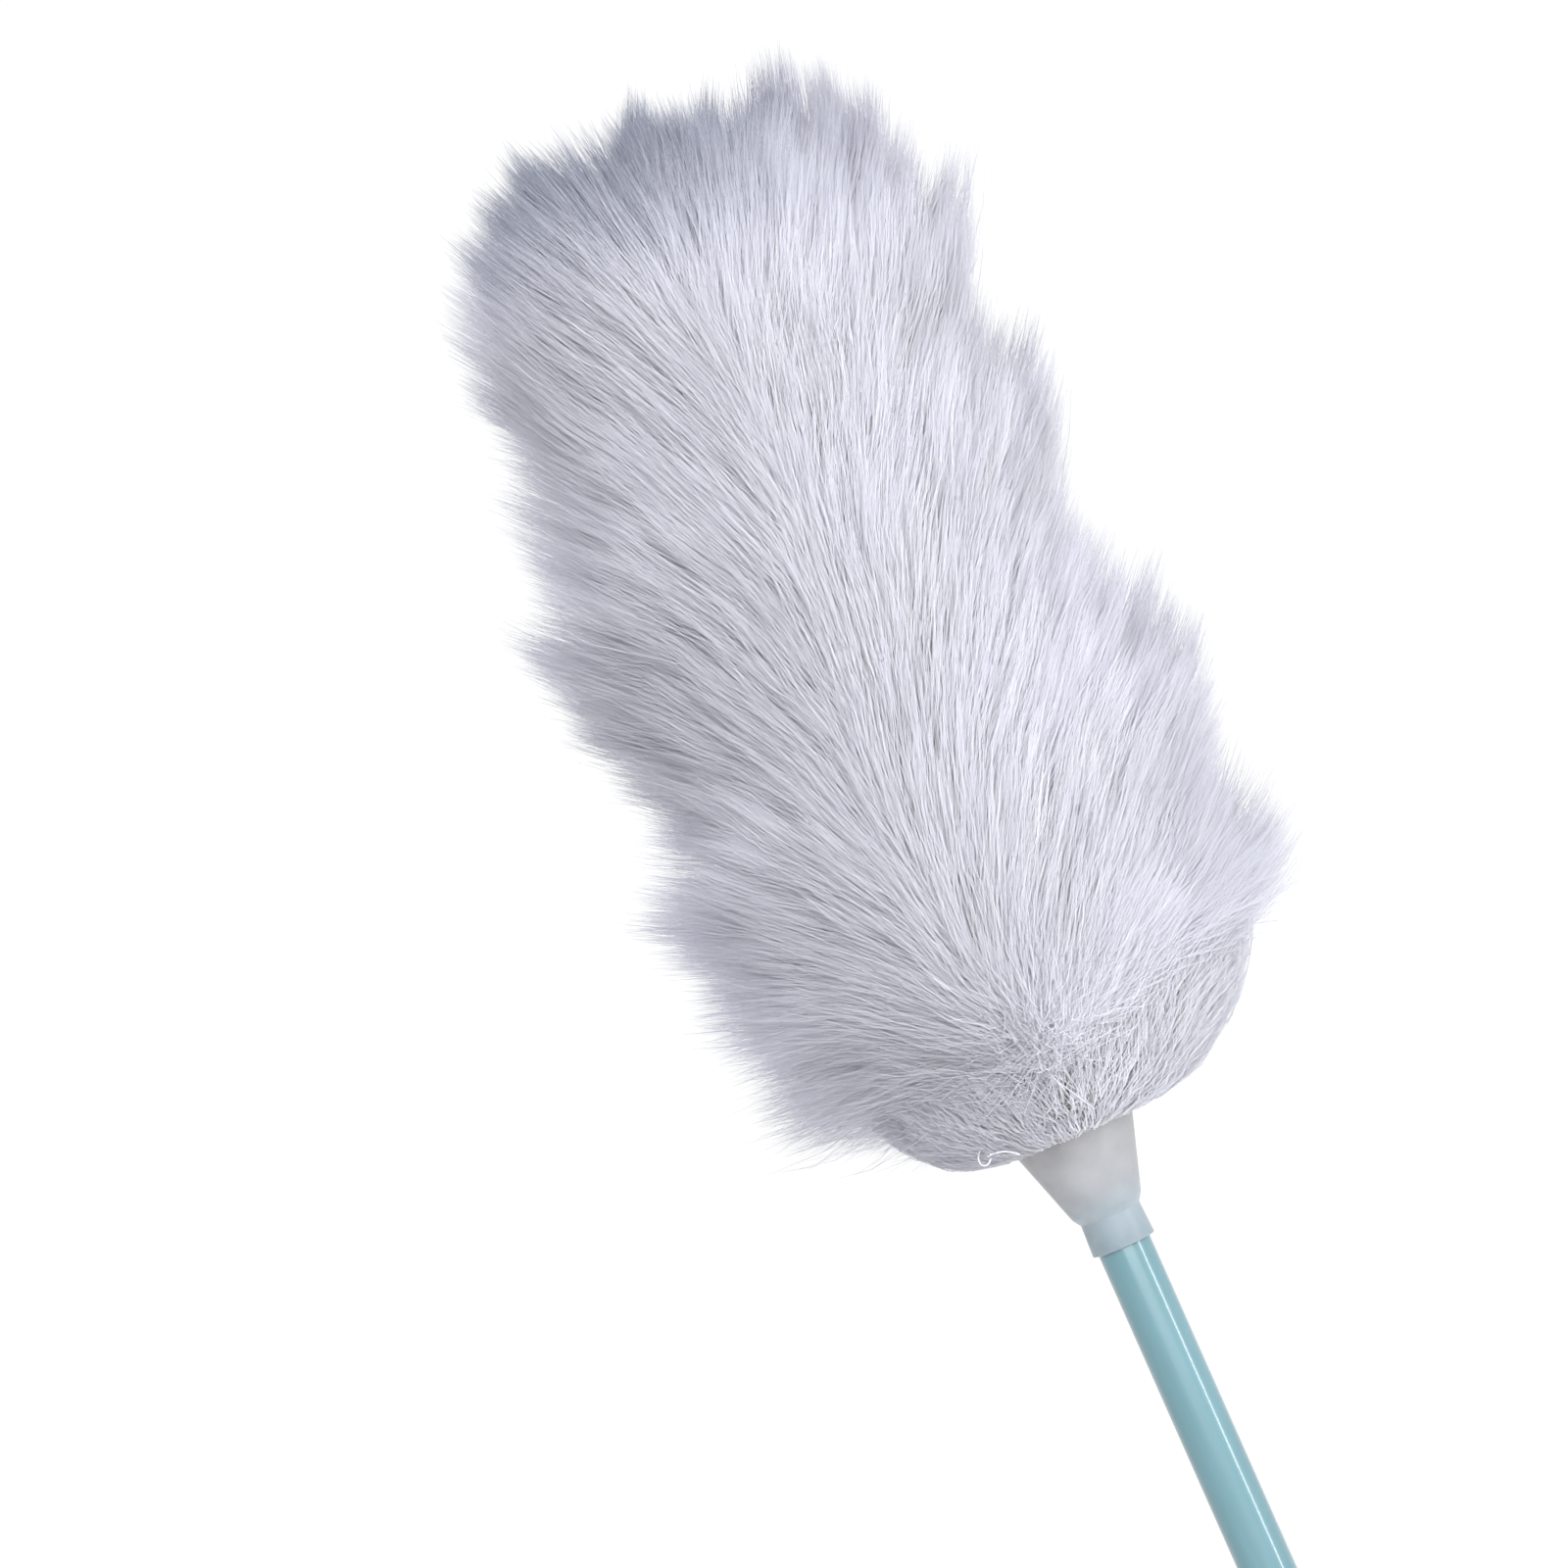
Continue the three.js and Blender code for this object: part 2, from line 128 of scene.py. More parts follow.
def finished(name, shape, material, sharp=35):
    """Turns a bmesh into an object, smooth except along edges sharper than an angle in degrees."""
    mesh = bpy.data.meshes.new(name)
    shape.to_mesh(mesh)
    shape.free()
    mesh.shade_smooth()
    mesh.set_sharp_from_angle(angle=math.radians(sharp))
    mesh.materials.append(material)
    piece = bpy.data.objects.new(name, mesh)
    scene.collection.objects.link(piece)
    return piece


# The surround looks pure white behind the object, but its left half gives less light than its right half.
LEFT_LIGHT = 0.95
RIGHT_LIGHT = 1.15
world = bpy.data.worlds.new("white_surround")
world.use_nodes = True
world_tree = world.node_tree
seen = add(world_tree, "ShaderNodeLightPath").outputs["Is Camera Ray"]
from_side = add(world_tree, "ShaderNodeSeparateXYZ",
                links={"Vector": add(world_tree, "ShaderNodeTexCoord").outputs["Generated"]})
side_light = add(world_tree, "ShaderNodeMapRange",
                 {"From Min": -1, "To Min": LEFT_LIGHT, "To Max": RIGHT_LIGHT},
                 {"Value": from_side.outputs["X"]})
glow = add(world_tree, "ShaderNodeMath", operation="MAXIMUM",
           links={0: side_light.outputs["Result"], 1: seen})
world_tree.nodes["Background"].inputs["Color"].default_value = (1, 1, 1, 1)
world_tree.links.new(glow.outputs["Value"], world_tree.nodes["Background"].inputs["Strength"])
scene.world = world

FLOOR_RADIUS = 1.5
# Matt white background paper: even and without grain at this distance.
paper, tree = new_material("floor_paper")
shader = add(tree, "ShaderNodeBsdfPrincipled", {"Base Color": linear("#f4f4f4"), "Roughness": 0.9})
add(tree, "ShaderNodeOutputMaterial", links={"Surface": shader.outputs["BSDF"]})
floor_shape = bmesh.new()
bmesh.ops.create_circle(floor_shape, cap_ends=True, segments=128, radius=FLOOR_RADIUS)
floor = finished("floor", floor_shape, paper)

# ---- Fleece undercoat ----
# The dense short wool at the roots of the pile, on its knitted backing. Off-white wool painted greyer than
# the locks as shade in the pile's depths, turned here as one soft body inside the long locks: full at the
# gathered hem, then well under the locks' tips.

HEM_HEIGHT = (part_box("fleece_pile")[0].z - collar) / MM
TIP_HEIGHT = (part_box("fleece_pile")[1].z - collar) / MM
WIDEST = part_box("fleece_pile")[1].x / MM
HEM_RADIUS = 20.5

# Outline of the brushed-out pile: share of the height from hem to tip, then how far it reaches on the left
# and on the right as a share of the widest radius. The locks end in steps, which make the bumps.
OUTLINE = [
    (0.00, 0.24, 0.26),
    (0.02, 0.42, 0.43),
    (0.05, 0.52, 0.63),
    (0.07, 0.60, 0.74),
    (0.09, 0.90, 0.80),
    (0.13, 0.90, 0.84),
    (0.17, 0.92, 0.86),
    (0.19, 0.94, 1.04),
    (0.22, 0.98, 1.06),
    (0.24, 0.92, 0.90),
    (0.30, 0.98, 0.92),
    (0.35, 1.04, 1.00),
    (0.37, 0.84, 1.05),
    (0.42, 0.84, 1.00),
    (0.45, 0.92, 0.90),
    (0.52, 0.96, 0.82),
    (0.60, 1.02, 0.86),
    (0.64, 0.88, 0.94),
    (0.68, 0.90, 0.94),
    (0.71, 0.84, 0.78),
    (0.78, 0.78, 0.84),
    (0.84, 0.82, 0.95),
    (0.87, 0.78, 0.78),
    (0.91, 0.70, 0.74),
    (0.94, 0.54, 0.58),
    (0.97, 0.38, 0.38),
    (0.99, 0.22, 0.20),
    (1.00, 0.02, 0.02),
]
LEFT = 0
RIGHT = 1
# Rounding of the outline as a share of its height: slight for the tips, more for what lies under them.
ROUNDING = 0.008
SMOOTH = 0.06
# How far the steps rise and fall round the head, in millimetres.
SLANT = 10
WAVE = 5
# Radius of the ball at the base, and how far it rises to that radius.
BALL_LEFT = 60
BALL_RIGHT = 86
BALL_RISE_LEFT = 45
BALL_RISE_RIGHT = 75


def on_both_sides(azimuth, left, right):
    """Blends a left and a right value round the head; azimuth runs from the front to the right."""
    side = (1 + np.sin(azimuth)) / 2
    return left * (1 - side) + right * side


def outline_at(height, column, rounding):
    """One column of the outline at a height above the collar, with its corners rounded off."""
    share = (np.asarray(height, float) - HEM_HEIGHT) / (TIP_HEIGHT - HEM_HEIGHT)
    places, *reaches = np.array(OUTLINE).T
    steps = [np.interp(share + rounding * step, places, reaches[column]) for step in (-1, -0.5, 0, 0.5, 1)]
    return WIDEST * np.mean(steps, axis=0)


def reach_at(azimuth, height, rounding=ROUNDING):
    """How far the pile reaches from the axis: the left and right outline, and smoother in front and behind.
    Away from the two sides each step slants and waves, because no lock ends level with the next."""
    height = np.asarray(height, float) + SLANT * np.sin(2 * azimuth) + WAVE * np.cos(5 * azimuth)
    smooth = (outline_at(height, LEFT, SMOOTH) + outline_at(height, RIGHT, SMOOTH)) / 2
    left_share = np.clip(-np.sin(azimuth), 0, 1)**1.5
    right_share = np.clip(np.sin(azimuth), 0, 1)**1.5
    return (smooth * (1 - left_share - right_share) + outline_at(height, LEFT, rounding) * left_share
            + outline_at(height, RIGHT, rounding) * right_share)


def ball_at(azimuth, height):
    """Radius of the smooth ball at the base, where the thread draws the pile in; fuller on the right."""
    rise = on_both_sides(azimuth, BALL_RISE_LEFT, BALL_RISE_RIGHT)
    share = np.clip((height - HEM_HEIGHT) / rise, 0, 1)
    widest = on_both_sides(azimuth, BALL_LEFT, BALL_RIGHT)
    return HEM_RADIUS + (widest - HEM_RADIUS) * np.sqrt(1 - (1 - share)**2)


def spun(outline, steps, base):
    """A round closed shape from (radius, height) points in millimetres that run up its outside."""
    shape = bmesh.new()
    points = [shape.verts.new((radius * MM, 0, base + height * MM)) for radius, height in outline]
    edges = [shape.edges.new(pair) for pair in zip(points, points[1:])]
    if outline[0][0] > 0:
        edges.append(shape.edges.new((points[-1], points[0])))
    bmesh.ops.spin(shape, geom=points + edges, cent=(0, 0, 0), axis=(0, 0, 1), angle=2 * math.pi,
                   steps=steps, use_merge=True)
    bmesh.ops.remove_doubles(shape, verts=shape.verts, dist=1e-6)
    bmesh.ops.recalc_face_normals(shape, faces=shape.faces)
    return shape


# Short dense wool, felted by wear: fluffy tufts about 2 mm across, drawn out along the pile, fully matt.
# Its grey-blue colour, darker than the fibres, is painted shade for the depths of the pile.
wool, tree = new_material("fleece_undercoat_wool_painted_shade")
place = add(tree, "ShaderNodeTexCoord").outputs["Object"]
stretched = add(tree, "ShaderNodeMapping", {"Scale": (1, 1, 0.12)}, {"Vector": place}).outputs["Vector"]
tufts = add(tree, "ShaderNodeTexNoise", {"Scale": repeats(2.4), "Detail": 6}, {"Vector": stretched})
colour = add(tree, "ShaderNodeValToRGB", links={"Fac": tufts.outputs["Fac"]},
             stops=[(0.3, "#c6c8d1"), (0.7, "#dfe0e8")]).outputs["Color"]
bump = add(tree, "ShaderNodeBump", {"Strength": 0.5, "Distance": 1.0 * MM}, {"Height": tufts.outputs["Fac"]})
shader = add(tree, "ShaderNodeBsdfPrincipled", {"Roughness": 0.95, "Sheen Weight": 0.3},
             {"Base Color": colour, "Normal": bump.outputs["Normal"]})
add(tree, "ShaderNodeOutputMaterial", links={"Surface": shader.outputs["BSDF"]})

# Shares of the pile's and the ball's radius, then the dome at its top and the neck that covers the core's
# plug. The outline is turned as a thin stem first, whose rings are then moved out to their radius.
UNDERCOAT_SHARE = 0.62
BALL_SHARE = 0.93
PLUG_COVER = 3
UNDERCOAT_TOP = (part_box("tip_plug")[1].z - collar) / MM + PLUG_COVER
UNDERCOAT_DOME = 90
NECK_RADIUS = 15
NECK_ROUND = 10
HOLLOW_RADIUS = 15
HOLLOW_DEPTH = 10
STEM_RADIUS = 1
STEM_START = 3
UNDERCOAT_STEPS = 40
ROUND_STEPS = 96
low = HEM_HEIGHT + STEM_START
climb = [low + (UNDERCOAT_TOP - low) * math.sin(math.pi / 2 * i / UNDERCOAT_STEPS)
         for i in range(UNDERCOAT_STEPS)]
under_outline = [(0, HEM_HEIGHT + HOLLOW_DEPTH), (HOLLOW_RADIUS, HEM_HEIGHT + HOLLOW_DEPTH),
                 (HEM_RADIUS, HEM_HEIGHT + 0.5)]
under_outline += [(STEM_RADIUS, height) for height in climb]
under_outline += [(0, UNDERCOAT_TOP)]
under_shape = spun(under_outline, ROUND_STEPS, collar)
for vert in under_shape.verts:
    height = (vert.co.z - collar) / MM
    out = math.hypot(vert.co.x, vert.co.y)
    if 0 < out < 2 * STEM_RADIUS * MM:
        azimuth = math.atan2(vert.co.x, -vert.co.y)
        dome = math.sqrt(1 - max(0, (height - UNDERCOAT_TOP + UNDERCOAT_DOME) / UNDERCOAT_DOME)**2)
        neck = math.sqrt(1 - max(0, (height - UNDERCOAT_TOP + NECK_ROUND) / NECK_ROUND)**2)
        full = min(reach_at(azimuth, height, SMOOTH) * UNDERCOAT_SHARE, ball_at(azimuth, height) * BALL_SHARE)
        radius = max(max(full, HEM_RADIUS) * dome, NECK_RADIUS * neck)
        vert.co.xy = vert.co.xy * float(radius) * MM / out
undercoat = finished("fleece_undercoat", under_shape, wool)
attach(undercoat, "head")
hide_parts("fleece_pile")

# ---- Fleece locks ----
# Long, fine, slightly glossy wool fibres that stand out of the backing and bend towards the tip. They hang
# together in thin pointed clumps, combed left and right from a parting that runs up the front and the back.

# Nine tiers of clumps, of two dozen fibres each. Lengths are in millimetres.
STRANDS_PER_CLUMP = 24
CLUMPS_PER_TIER = 480
TIERS = 9
STRAND_LENGTH = 70
STRAND_RADIUS = 0.24
STRAND_CUTS = (0.4, 0.75)
HANDLE = 0.36
# Tips start just above the hem on the left, and higher on the right and in front.
LOWEST_TIP = 50
BALL_TOP = 88
BARE_UNDER = 110
# More clumps at the crown, to close it over the core, and painted shade there: a greyer tone where those
# locks lie in shade behind the front ones.
TIP_MARGIN = 7
CROWN_HEIGHT = 34
CROWN_EXTRA = 5
CROWN_PAINTED_SHADE = 0.64
SHADE_START = 46
SHADE_FADE = 36
SHADE_RIGHT = 62
SHADE_RIGHT_FADE = 24
# Where the fibres are rooted: shares of the pile's and of the ball's radius.
ROOT_SHARE = 0.6
ROOT_BALL_SHARE = 0.85
ROOT_LOWEST = 50
ROOT_HIGHEST = 320
ROOT_TURN = 0.4
# Tufts that the clumps lean together into, strongly at the sides and hardly in front.
TUFTS = 820
TUFT_TURN = 0.06
TUFT_SHORTEST = -3
TUFT_LONGEST = 8
TUFT_RADIUS = 4
GATHER_FRONT = 0.03
GATHER_SIDE = 0.42
STEP_FRONT = 0.05
STEP_SIDE = 0.95
# Waves in the lie of the clumps: how strong, how long, and the first layer of noise that each takes.
WAVES = [(0.22, 30, 0), (0.07, 9, 3)]
REACH_WAVE = 3
REACH_WAVE_SIZE = 34
# Low on the left the roots point down, so that the locks hang over.
HANG_LEFT = 1.0
HANG_RIGHT = 0.1
HANG_TOP = 130
HANG_FADE = 80
# Scatter from clump to clump and from fibre to fibre.
CLUMP_TURN = 0.02
CLUMP_RISE = 1.5
CLUMP_BEND = 2.5
CLUMP_SPREAD = 2.2
ROOT_SPREAD = 3.5
ROOT_EDGE = 5
TIP_WAY_SPREAD = 0.07
ROOT_WAY_SPREAD = 0.12
SHORTER = 5.0
LOOSE_BASE = 2
THINNEST = 0.6
THICKEST = 1.3
STRAY_SHARE = 0.04
STRAY_SPREAD = 4.0
STRAY_LOWEST = 90
TONE = 0.68
CLUMP_TONE_SPREAD = 0.08
STRAND_TONE_SPREAD = 0.1
SOFT_SHADING = 0.88
GOLDEN_ANGLE = math.pi * (3 - math.sqrt(5))
# The map has one column for each tone, and holds a fibre's length in its lowest quarter.
COLUMNS = 64
UV_RUN = 0.25
rng = np.random.default_rng(12)

# Combed wool fibre: creamy at the root and cooler at the worn tip. Each fibre lets light through, so the pile
# glows softly; its own tone varies a little from fibre to fibre, and the grey low end of the tone is painted
# shade for the crown.
fibre, tree = new_material("fleece_fibre")
place = add(tree, "ShaderNodeUVMap", uv_map="OFBake").outputs["UV"]
axes = add(tree, "ShaderNodeSeparateXYZ", links={"Vector": place})
along = add(tree, "ShaderNodeMath", {1: UV_RUN}, {0: axes.outputs["Y"]}, operation="DIVIDE").outputs["Value"]
length_colour = add(tree, "ShaderNodeValToRGB", links={"Fac": along},
                    stops=[(0.0, "#f8f4ee"), (0.45, "#fafafd"), (1.0, "#f7f8ff")]).outputs["Color"]
strand_tone_and_painted_shade = add(tree, "ShaderNodeValToRGB", links={"Fac": axes.outputs["X"]},
                    stops=[(0.0, "#b4b9c5"), (0.5, "#f8f8fc"), (1.0, "#ffffff")]).outputs["Color"]
colour = add(tree, "ShaderNodeMix", {"Factor": 1.0}, {"A": length_colour, "B": strand_tone_and_painted_shade},
             data_type="RGBA", blend_type="MULTIPLY")
fibre_front = add(tree, "ShaderNodeBsdfPrincipled", {"Roughness": 0.75, "Specular IOR Level": 0.15},
                  {"Base Color": colour.outputs["Result"]})
fibre_through = add(tree, "ShaderNodeBsdfTranslucent", links={"Color": colour.outputs["Result"]})
fibre_mix = add(tree, "ShaderNodeMixShader", {"Fac": 0.58},
                {1: fibre_front.outputs["BSDF"], 2: fibre_through.outputs["BSDF"]})
add(tree, "ShaderNodeOutputMaterial", links={"Surface": fibre_mix.outputs["Shader"]})


def unit_strand():
    """One fibre: a three-sided spike along Z, cut into three stretches so that it can bend."""
    shape = bmesh.new()
    bmesh.ops.create_cone(shape, cap_ends=True, segments=3, radius1=1, radius2=0, depth=1,
                          matrix=Matrix.Translation((0, 0, 0.5)))
    for height in STRAND_CUTS:
        geometry = shape.verts[:] + shape.edges[:] + shape.faces[:]
        bmesh.ops.bisect_plane(shape, geom=geometry, plane_co=(0, 0, height), plane_no=(0, 0, 1))
    bmesh.ops.remove_doubles(shape, verts=shape.verts, dist=1e-6)
    bmesh.ops.recalc_face_normals(shape, faces=shape.faces)
    shape.verts.index_update()
    corners = [[corner.vert.index for corner in face.loops] for face in shape.faces]
    verts = np.array([vert.co for vert in shape.verts])
    shape.free()
    return verts, corners


def unit(vectors):
    """Vectors scaled to length one."""
    return vectors / np.linalg.norm(vectors, axis=-1, keepdims=True)


TINY = 1e-4
strand_verts, strand_faces = unit_strand()
strand_corners = np.concatenate(strand_faces)
strand_sizes = np.array([len(face) for face in strand_faces])
strand_height = strand_verts[:, 2]
outward = np.hypot(strand_verts[:, 0], strand_verts[:, 1])
strand_round = strand_verts[:, :2] / np.maximum(outward, 1e-6)[:, None]
strand_round[outward < TINY] = 0


# Bare margin at each side of a column, and the height given to the small face at the root.
COLUMN_EDGE = 0.1
BASE_FACE_RISE = 0.04


def strand_uv():
    """Each face of a fibre fills one column of the map from side to side, its root at the bottom."""
    across = np.zeros(len(strand_corners))
    up = strand_height[strand_corners]
    first = 0
    for face in strand_faces:
        for corner, vert in enumerate(face):
            if outward[vert] < TINY:
                across[first + corner] = 0.5
                continue
            lowest = min(strand_height[v] for v in face)
            level = [v for v in face if abs(strand_height[v] - strand_height[vert]) < TINY]
            place_in_level = level.index(vert) / max(len(level) - 1, 1)
            across[first + corner] = COLUMN_EDGE + (1 - 2 * COLUMN_EDGE) * place_in_level
            if len(level) == 3:
                up[first + corner] = BASE_FACE_RISE * (level.index(vert) == 1)
            elif strand_height[vert] > lowest + TINY:
                across[first + corner] = 1 - across[first + corner]
        first += len(face)
    return across, up


strand_across, strand_up = strand_uv()


def around(azimuth, radius, height):
    """Points at an azimuth from the front, a radius and a height, in millimetres."""
    return np.stack([radius * np.sin(azimuth), -radius * np.cos(azimuth), height], -1)


NORMAL_SPAN = 12


def pile_normal(azimuth, height):
    """Unit vectors square to the pile's outline."""
    above = reach_at(azimuth, height + NORMAL_SPAN, SMOOTH)
    below = reach_at(azimuth, height - NORMAL_SPAN, SMOOTH)
    slope = np.arctan2(above - below, 2 * NORMAL_SPAN)
    return around(azimuth, np.cos(slope), -np.sin(slope))


TAPER = 1.8


def grow(name, roots, root_handles, tip_handles, tips, radii, tones, facing):
    """Bends a copy of the fibre along each cubic curve and joins the copies. Sizes in millimetres."""
    count = len(roots)
    t = strand_height[None, :, None]
    spine = ((1 - t)**3 * roots[:, None] + 3 * (1 - t)**2 * t * root_handles[:, None]
             + 3 * (1 - t) * t**2 * tip_handles[:, None] + t**3 * tips[:, None])
    run = unit(tips - roots)
    side = unit(np.cross(run, rng.normal(size=(count, 3))))
    other = np.cross(run, side)
    girth = radii[:, None] * (1 - strand_height[None, :]**TAPER)
    ring = strand_round[None, :, 0, None] * side[:, None] + strand_round[None, :, 1, None] * other[:, None]
    verts = (spine + girth[:, :, None] * ring) * MM
    verts[:, :, 2] += collar
    first_vert = np.arange(count)[:, None] * len(strand_verts)
    corners = (first_vert + strand_corners[None, :]).ravel()
    sizes = np.tile(strand_sizes, count)
    starts = np.concatenate([[0], np.cumsum(sizes)[:-1]])
    mesh = bpy.data.meshes.new(name)
    mesh.vertices.add(count * len(strand_verts))
    mesh.vertices.foreach_set("co", verts.reshape(-1).astype(np.float32))
    mesh.loops.add(len(corners))
    mesh.loops.foreach_set("vertex_index", corners.astype(np.int32))
    mesh.polygons.add(len(sizes))
    mesh.polygons.foreach_set("loop_start", starts.astype(np.int32))
    mesh.update(calc_edges=True)
    column = np.clip((tones * COLUMNS).astype(int), 0, COLUMNS - 1)
    across = (column[:, None] + strand_across[None, :]) / COLUMNS
    up = np.tile(strand_up * UV_RUN, (count, 1))
    layer = mesh.uv_layers.new(name="OFBake")
    layer.data.foreach_set("uv", np.stack([across, up], -1).reshape(-1).astype(np.float32))
    mesh.shade_smooth()
    normals = unit(facing[:, None, :] * SOFT_SHADING + ring * (1 - SOFT_SHADING))
    mesh.normals_split_custom_set_from_vertices(normals.reshape(-1, 3).tolist())
    mesh.materials.append(fibre)
    piece = bpy.data.objects.new(name, mesh)
    scene.collection.objects.link(piece)
    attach(piece, "head")
    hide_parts("fleece_pile")
    return piece


# Lean of the tips from the axis: height above the collar, then degrees.
LEFT_LEAN = [(45, 108), (70, 95), (110, 76), (140, 64), (210, 50), (300, 42), (350, 32), (TIP_HEIGHT, 12)]
RIGHT_LEAN = [(45, 62), (110, 50), (210, 40), (300, 34), (350, 28), (TIP_HEIGHT, 12)]
# The parting: height above the collar, then azimuth from the front in radians.
PARTING = [(52, 0.08), (176, -0.15), (285, 0.0)]
PARTING_SOFTNESS = 0.65
FRONT_TILT = 0.38


def lean_at(azimuth, height):
    """Angle between a lock's tip and the axis at the sides: the left hangs lower than the right."""
    left = np.interp(height, *zip(*LEFT_LEAN))
    right = np.interp(height, *zip(*RIGHT_LEAN))
    return np.radians(on_both_sides(azimuth, left, right))


def combed(azimuth, height):
    """Directions of the tips: along the axis at the parting, turning out to the left and right of it."""
    turn = azimuth - np.interp(height, *zip(*PARTING))
    swing = np.sign(np.sin(turn)) * np.abs(np.sin(turn))**PARTING_SOFTNESS
    lean = lean_at(azimuth, height) * np.abs(swing)
    return unit(np.stack([np.sin(lean) * np.sign(swing), -FRONT_TILT * np.cos(turn), np.cos(lean)], -1))


LAYER_SHIFT = 7.3


def ripple(points, size, layer):
    """Smooth noise between about -1 and 1 at each point, with waves of a size in millimetres."""
    shift = Vector((0, 0, LAYER_SHIFT * layer))
    return np.array([noise.noise(Vector(point) / size + shift) for point in points])


def place_tips(count, lowest):
    """Azimuth and height of tips spread evenly over the pile by the golden angle."""
    heights = np.linspace(lowest, TIP_HEIGHT - TIP_MARGIN, 400)
    radii = reach_at(0, heights)
    crown = np.clip((heights[1:] - TIP_HEIGHT + CROWN_HEIGHT) / CROWN_HEIGHT, 0, 1)
    steps = np.hypot(np.diff(heights), np.diff(radii)) * (radii[1:] + radii[:-1] + 20)
    steps *= 1 + CROWN_EXTRA * crown
    share = np.concatenate([[0], np.cumsum(steps)]) / steps.sum()
    height = np.interp((np.arange(count) + 0.5) / count, share, heights)
    azimuth = np.arange(count) * GOLDEN_ANGLE % (2 * math.pi)
    return azimuth, height


BARE_LEFT = 8
BARE_RIGHT = 44
BARE_FRONT = 10


def bare_hem(azimuth):
    """Height of the lowest lock roots: low on the left and high on the right, and raised in front."""
    return HEM_HEIGHT + on_both_sides(azimuth, BARE_LEFT, BARE_RIGHT) + BARE_FRONT * np.cos(azimuth)**2


def spread(values):
    """Repeats each clump's row for its strands."""
    return np.repeat(values, STRANDS_PER_CLUMP, axis=0)


tuft_azimuth, tuft_height = place_tips(TUFTS, LOWEST_TIP)
tuft_azimuth += rng.normal(0, TUFT_TURN, TUFTS)
tuft_places = around(tuft_azimuth, reach_at(tuft_azimuth, tuft_height), tuft_height)
tuft_reach = rng.uniform(TUFT_SHORTEST, TUFT_LONGEST, TUFTS)
nearest = kdtree.KDTree(TUFTS)
for index, point in enumerate(tuft_places):
    nearest.insert(point, index)
nearest.balance()

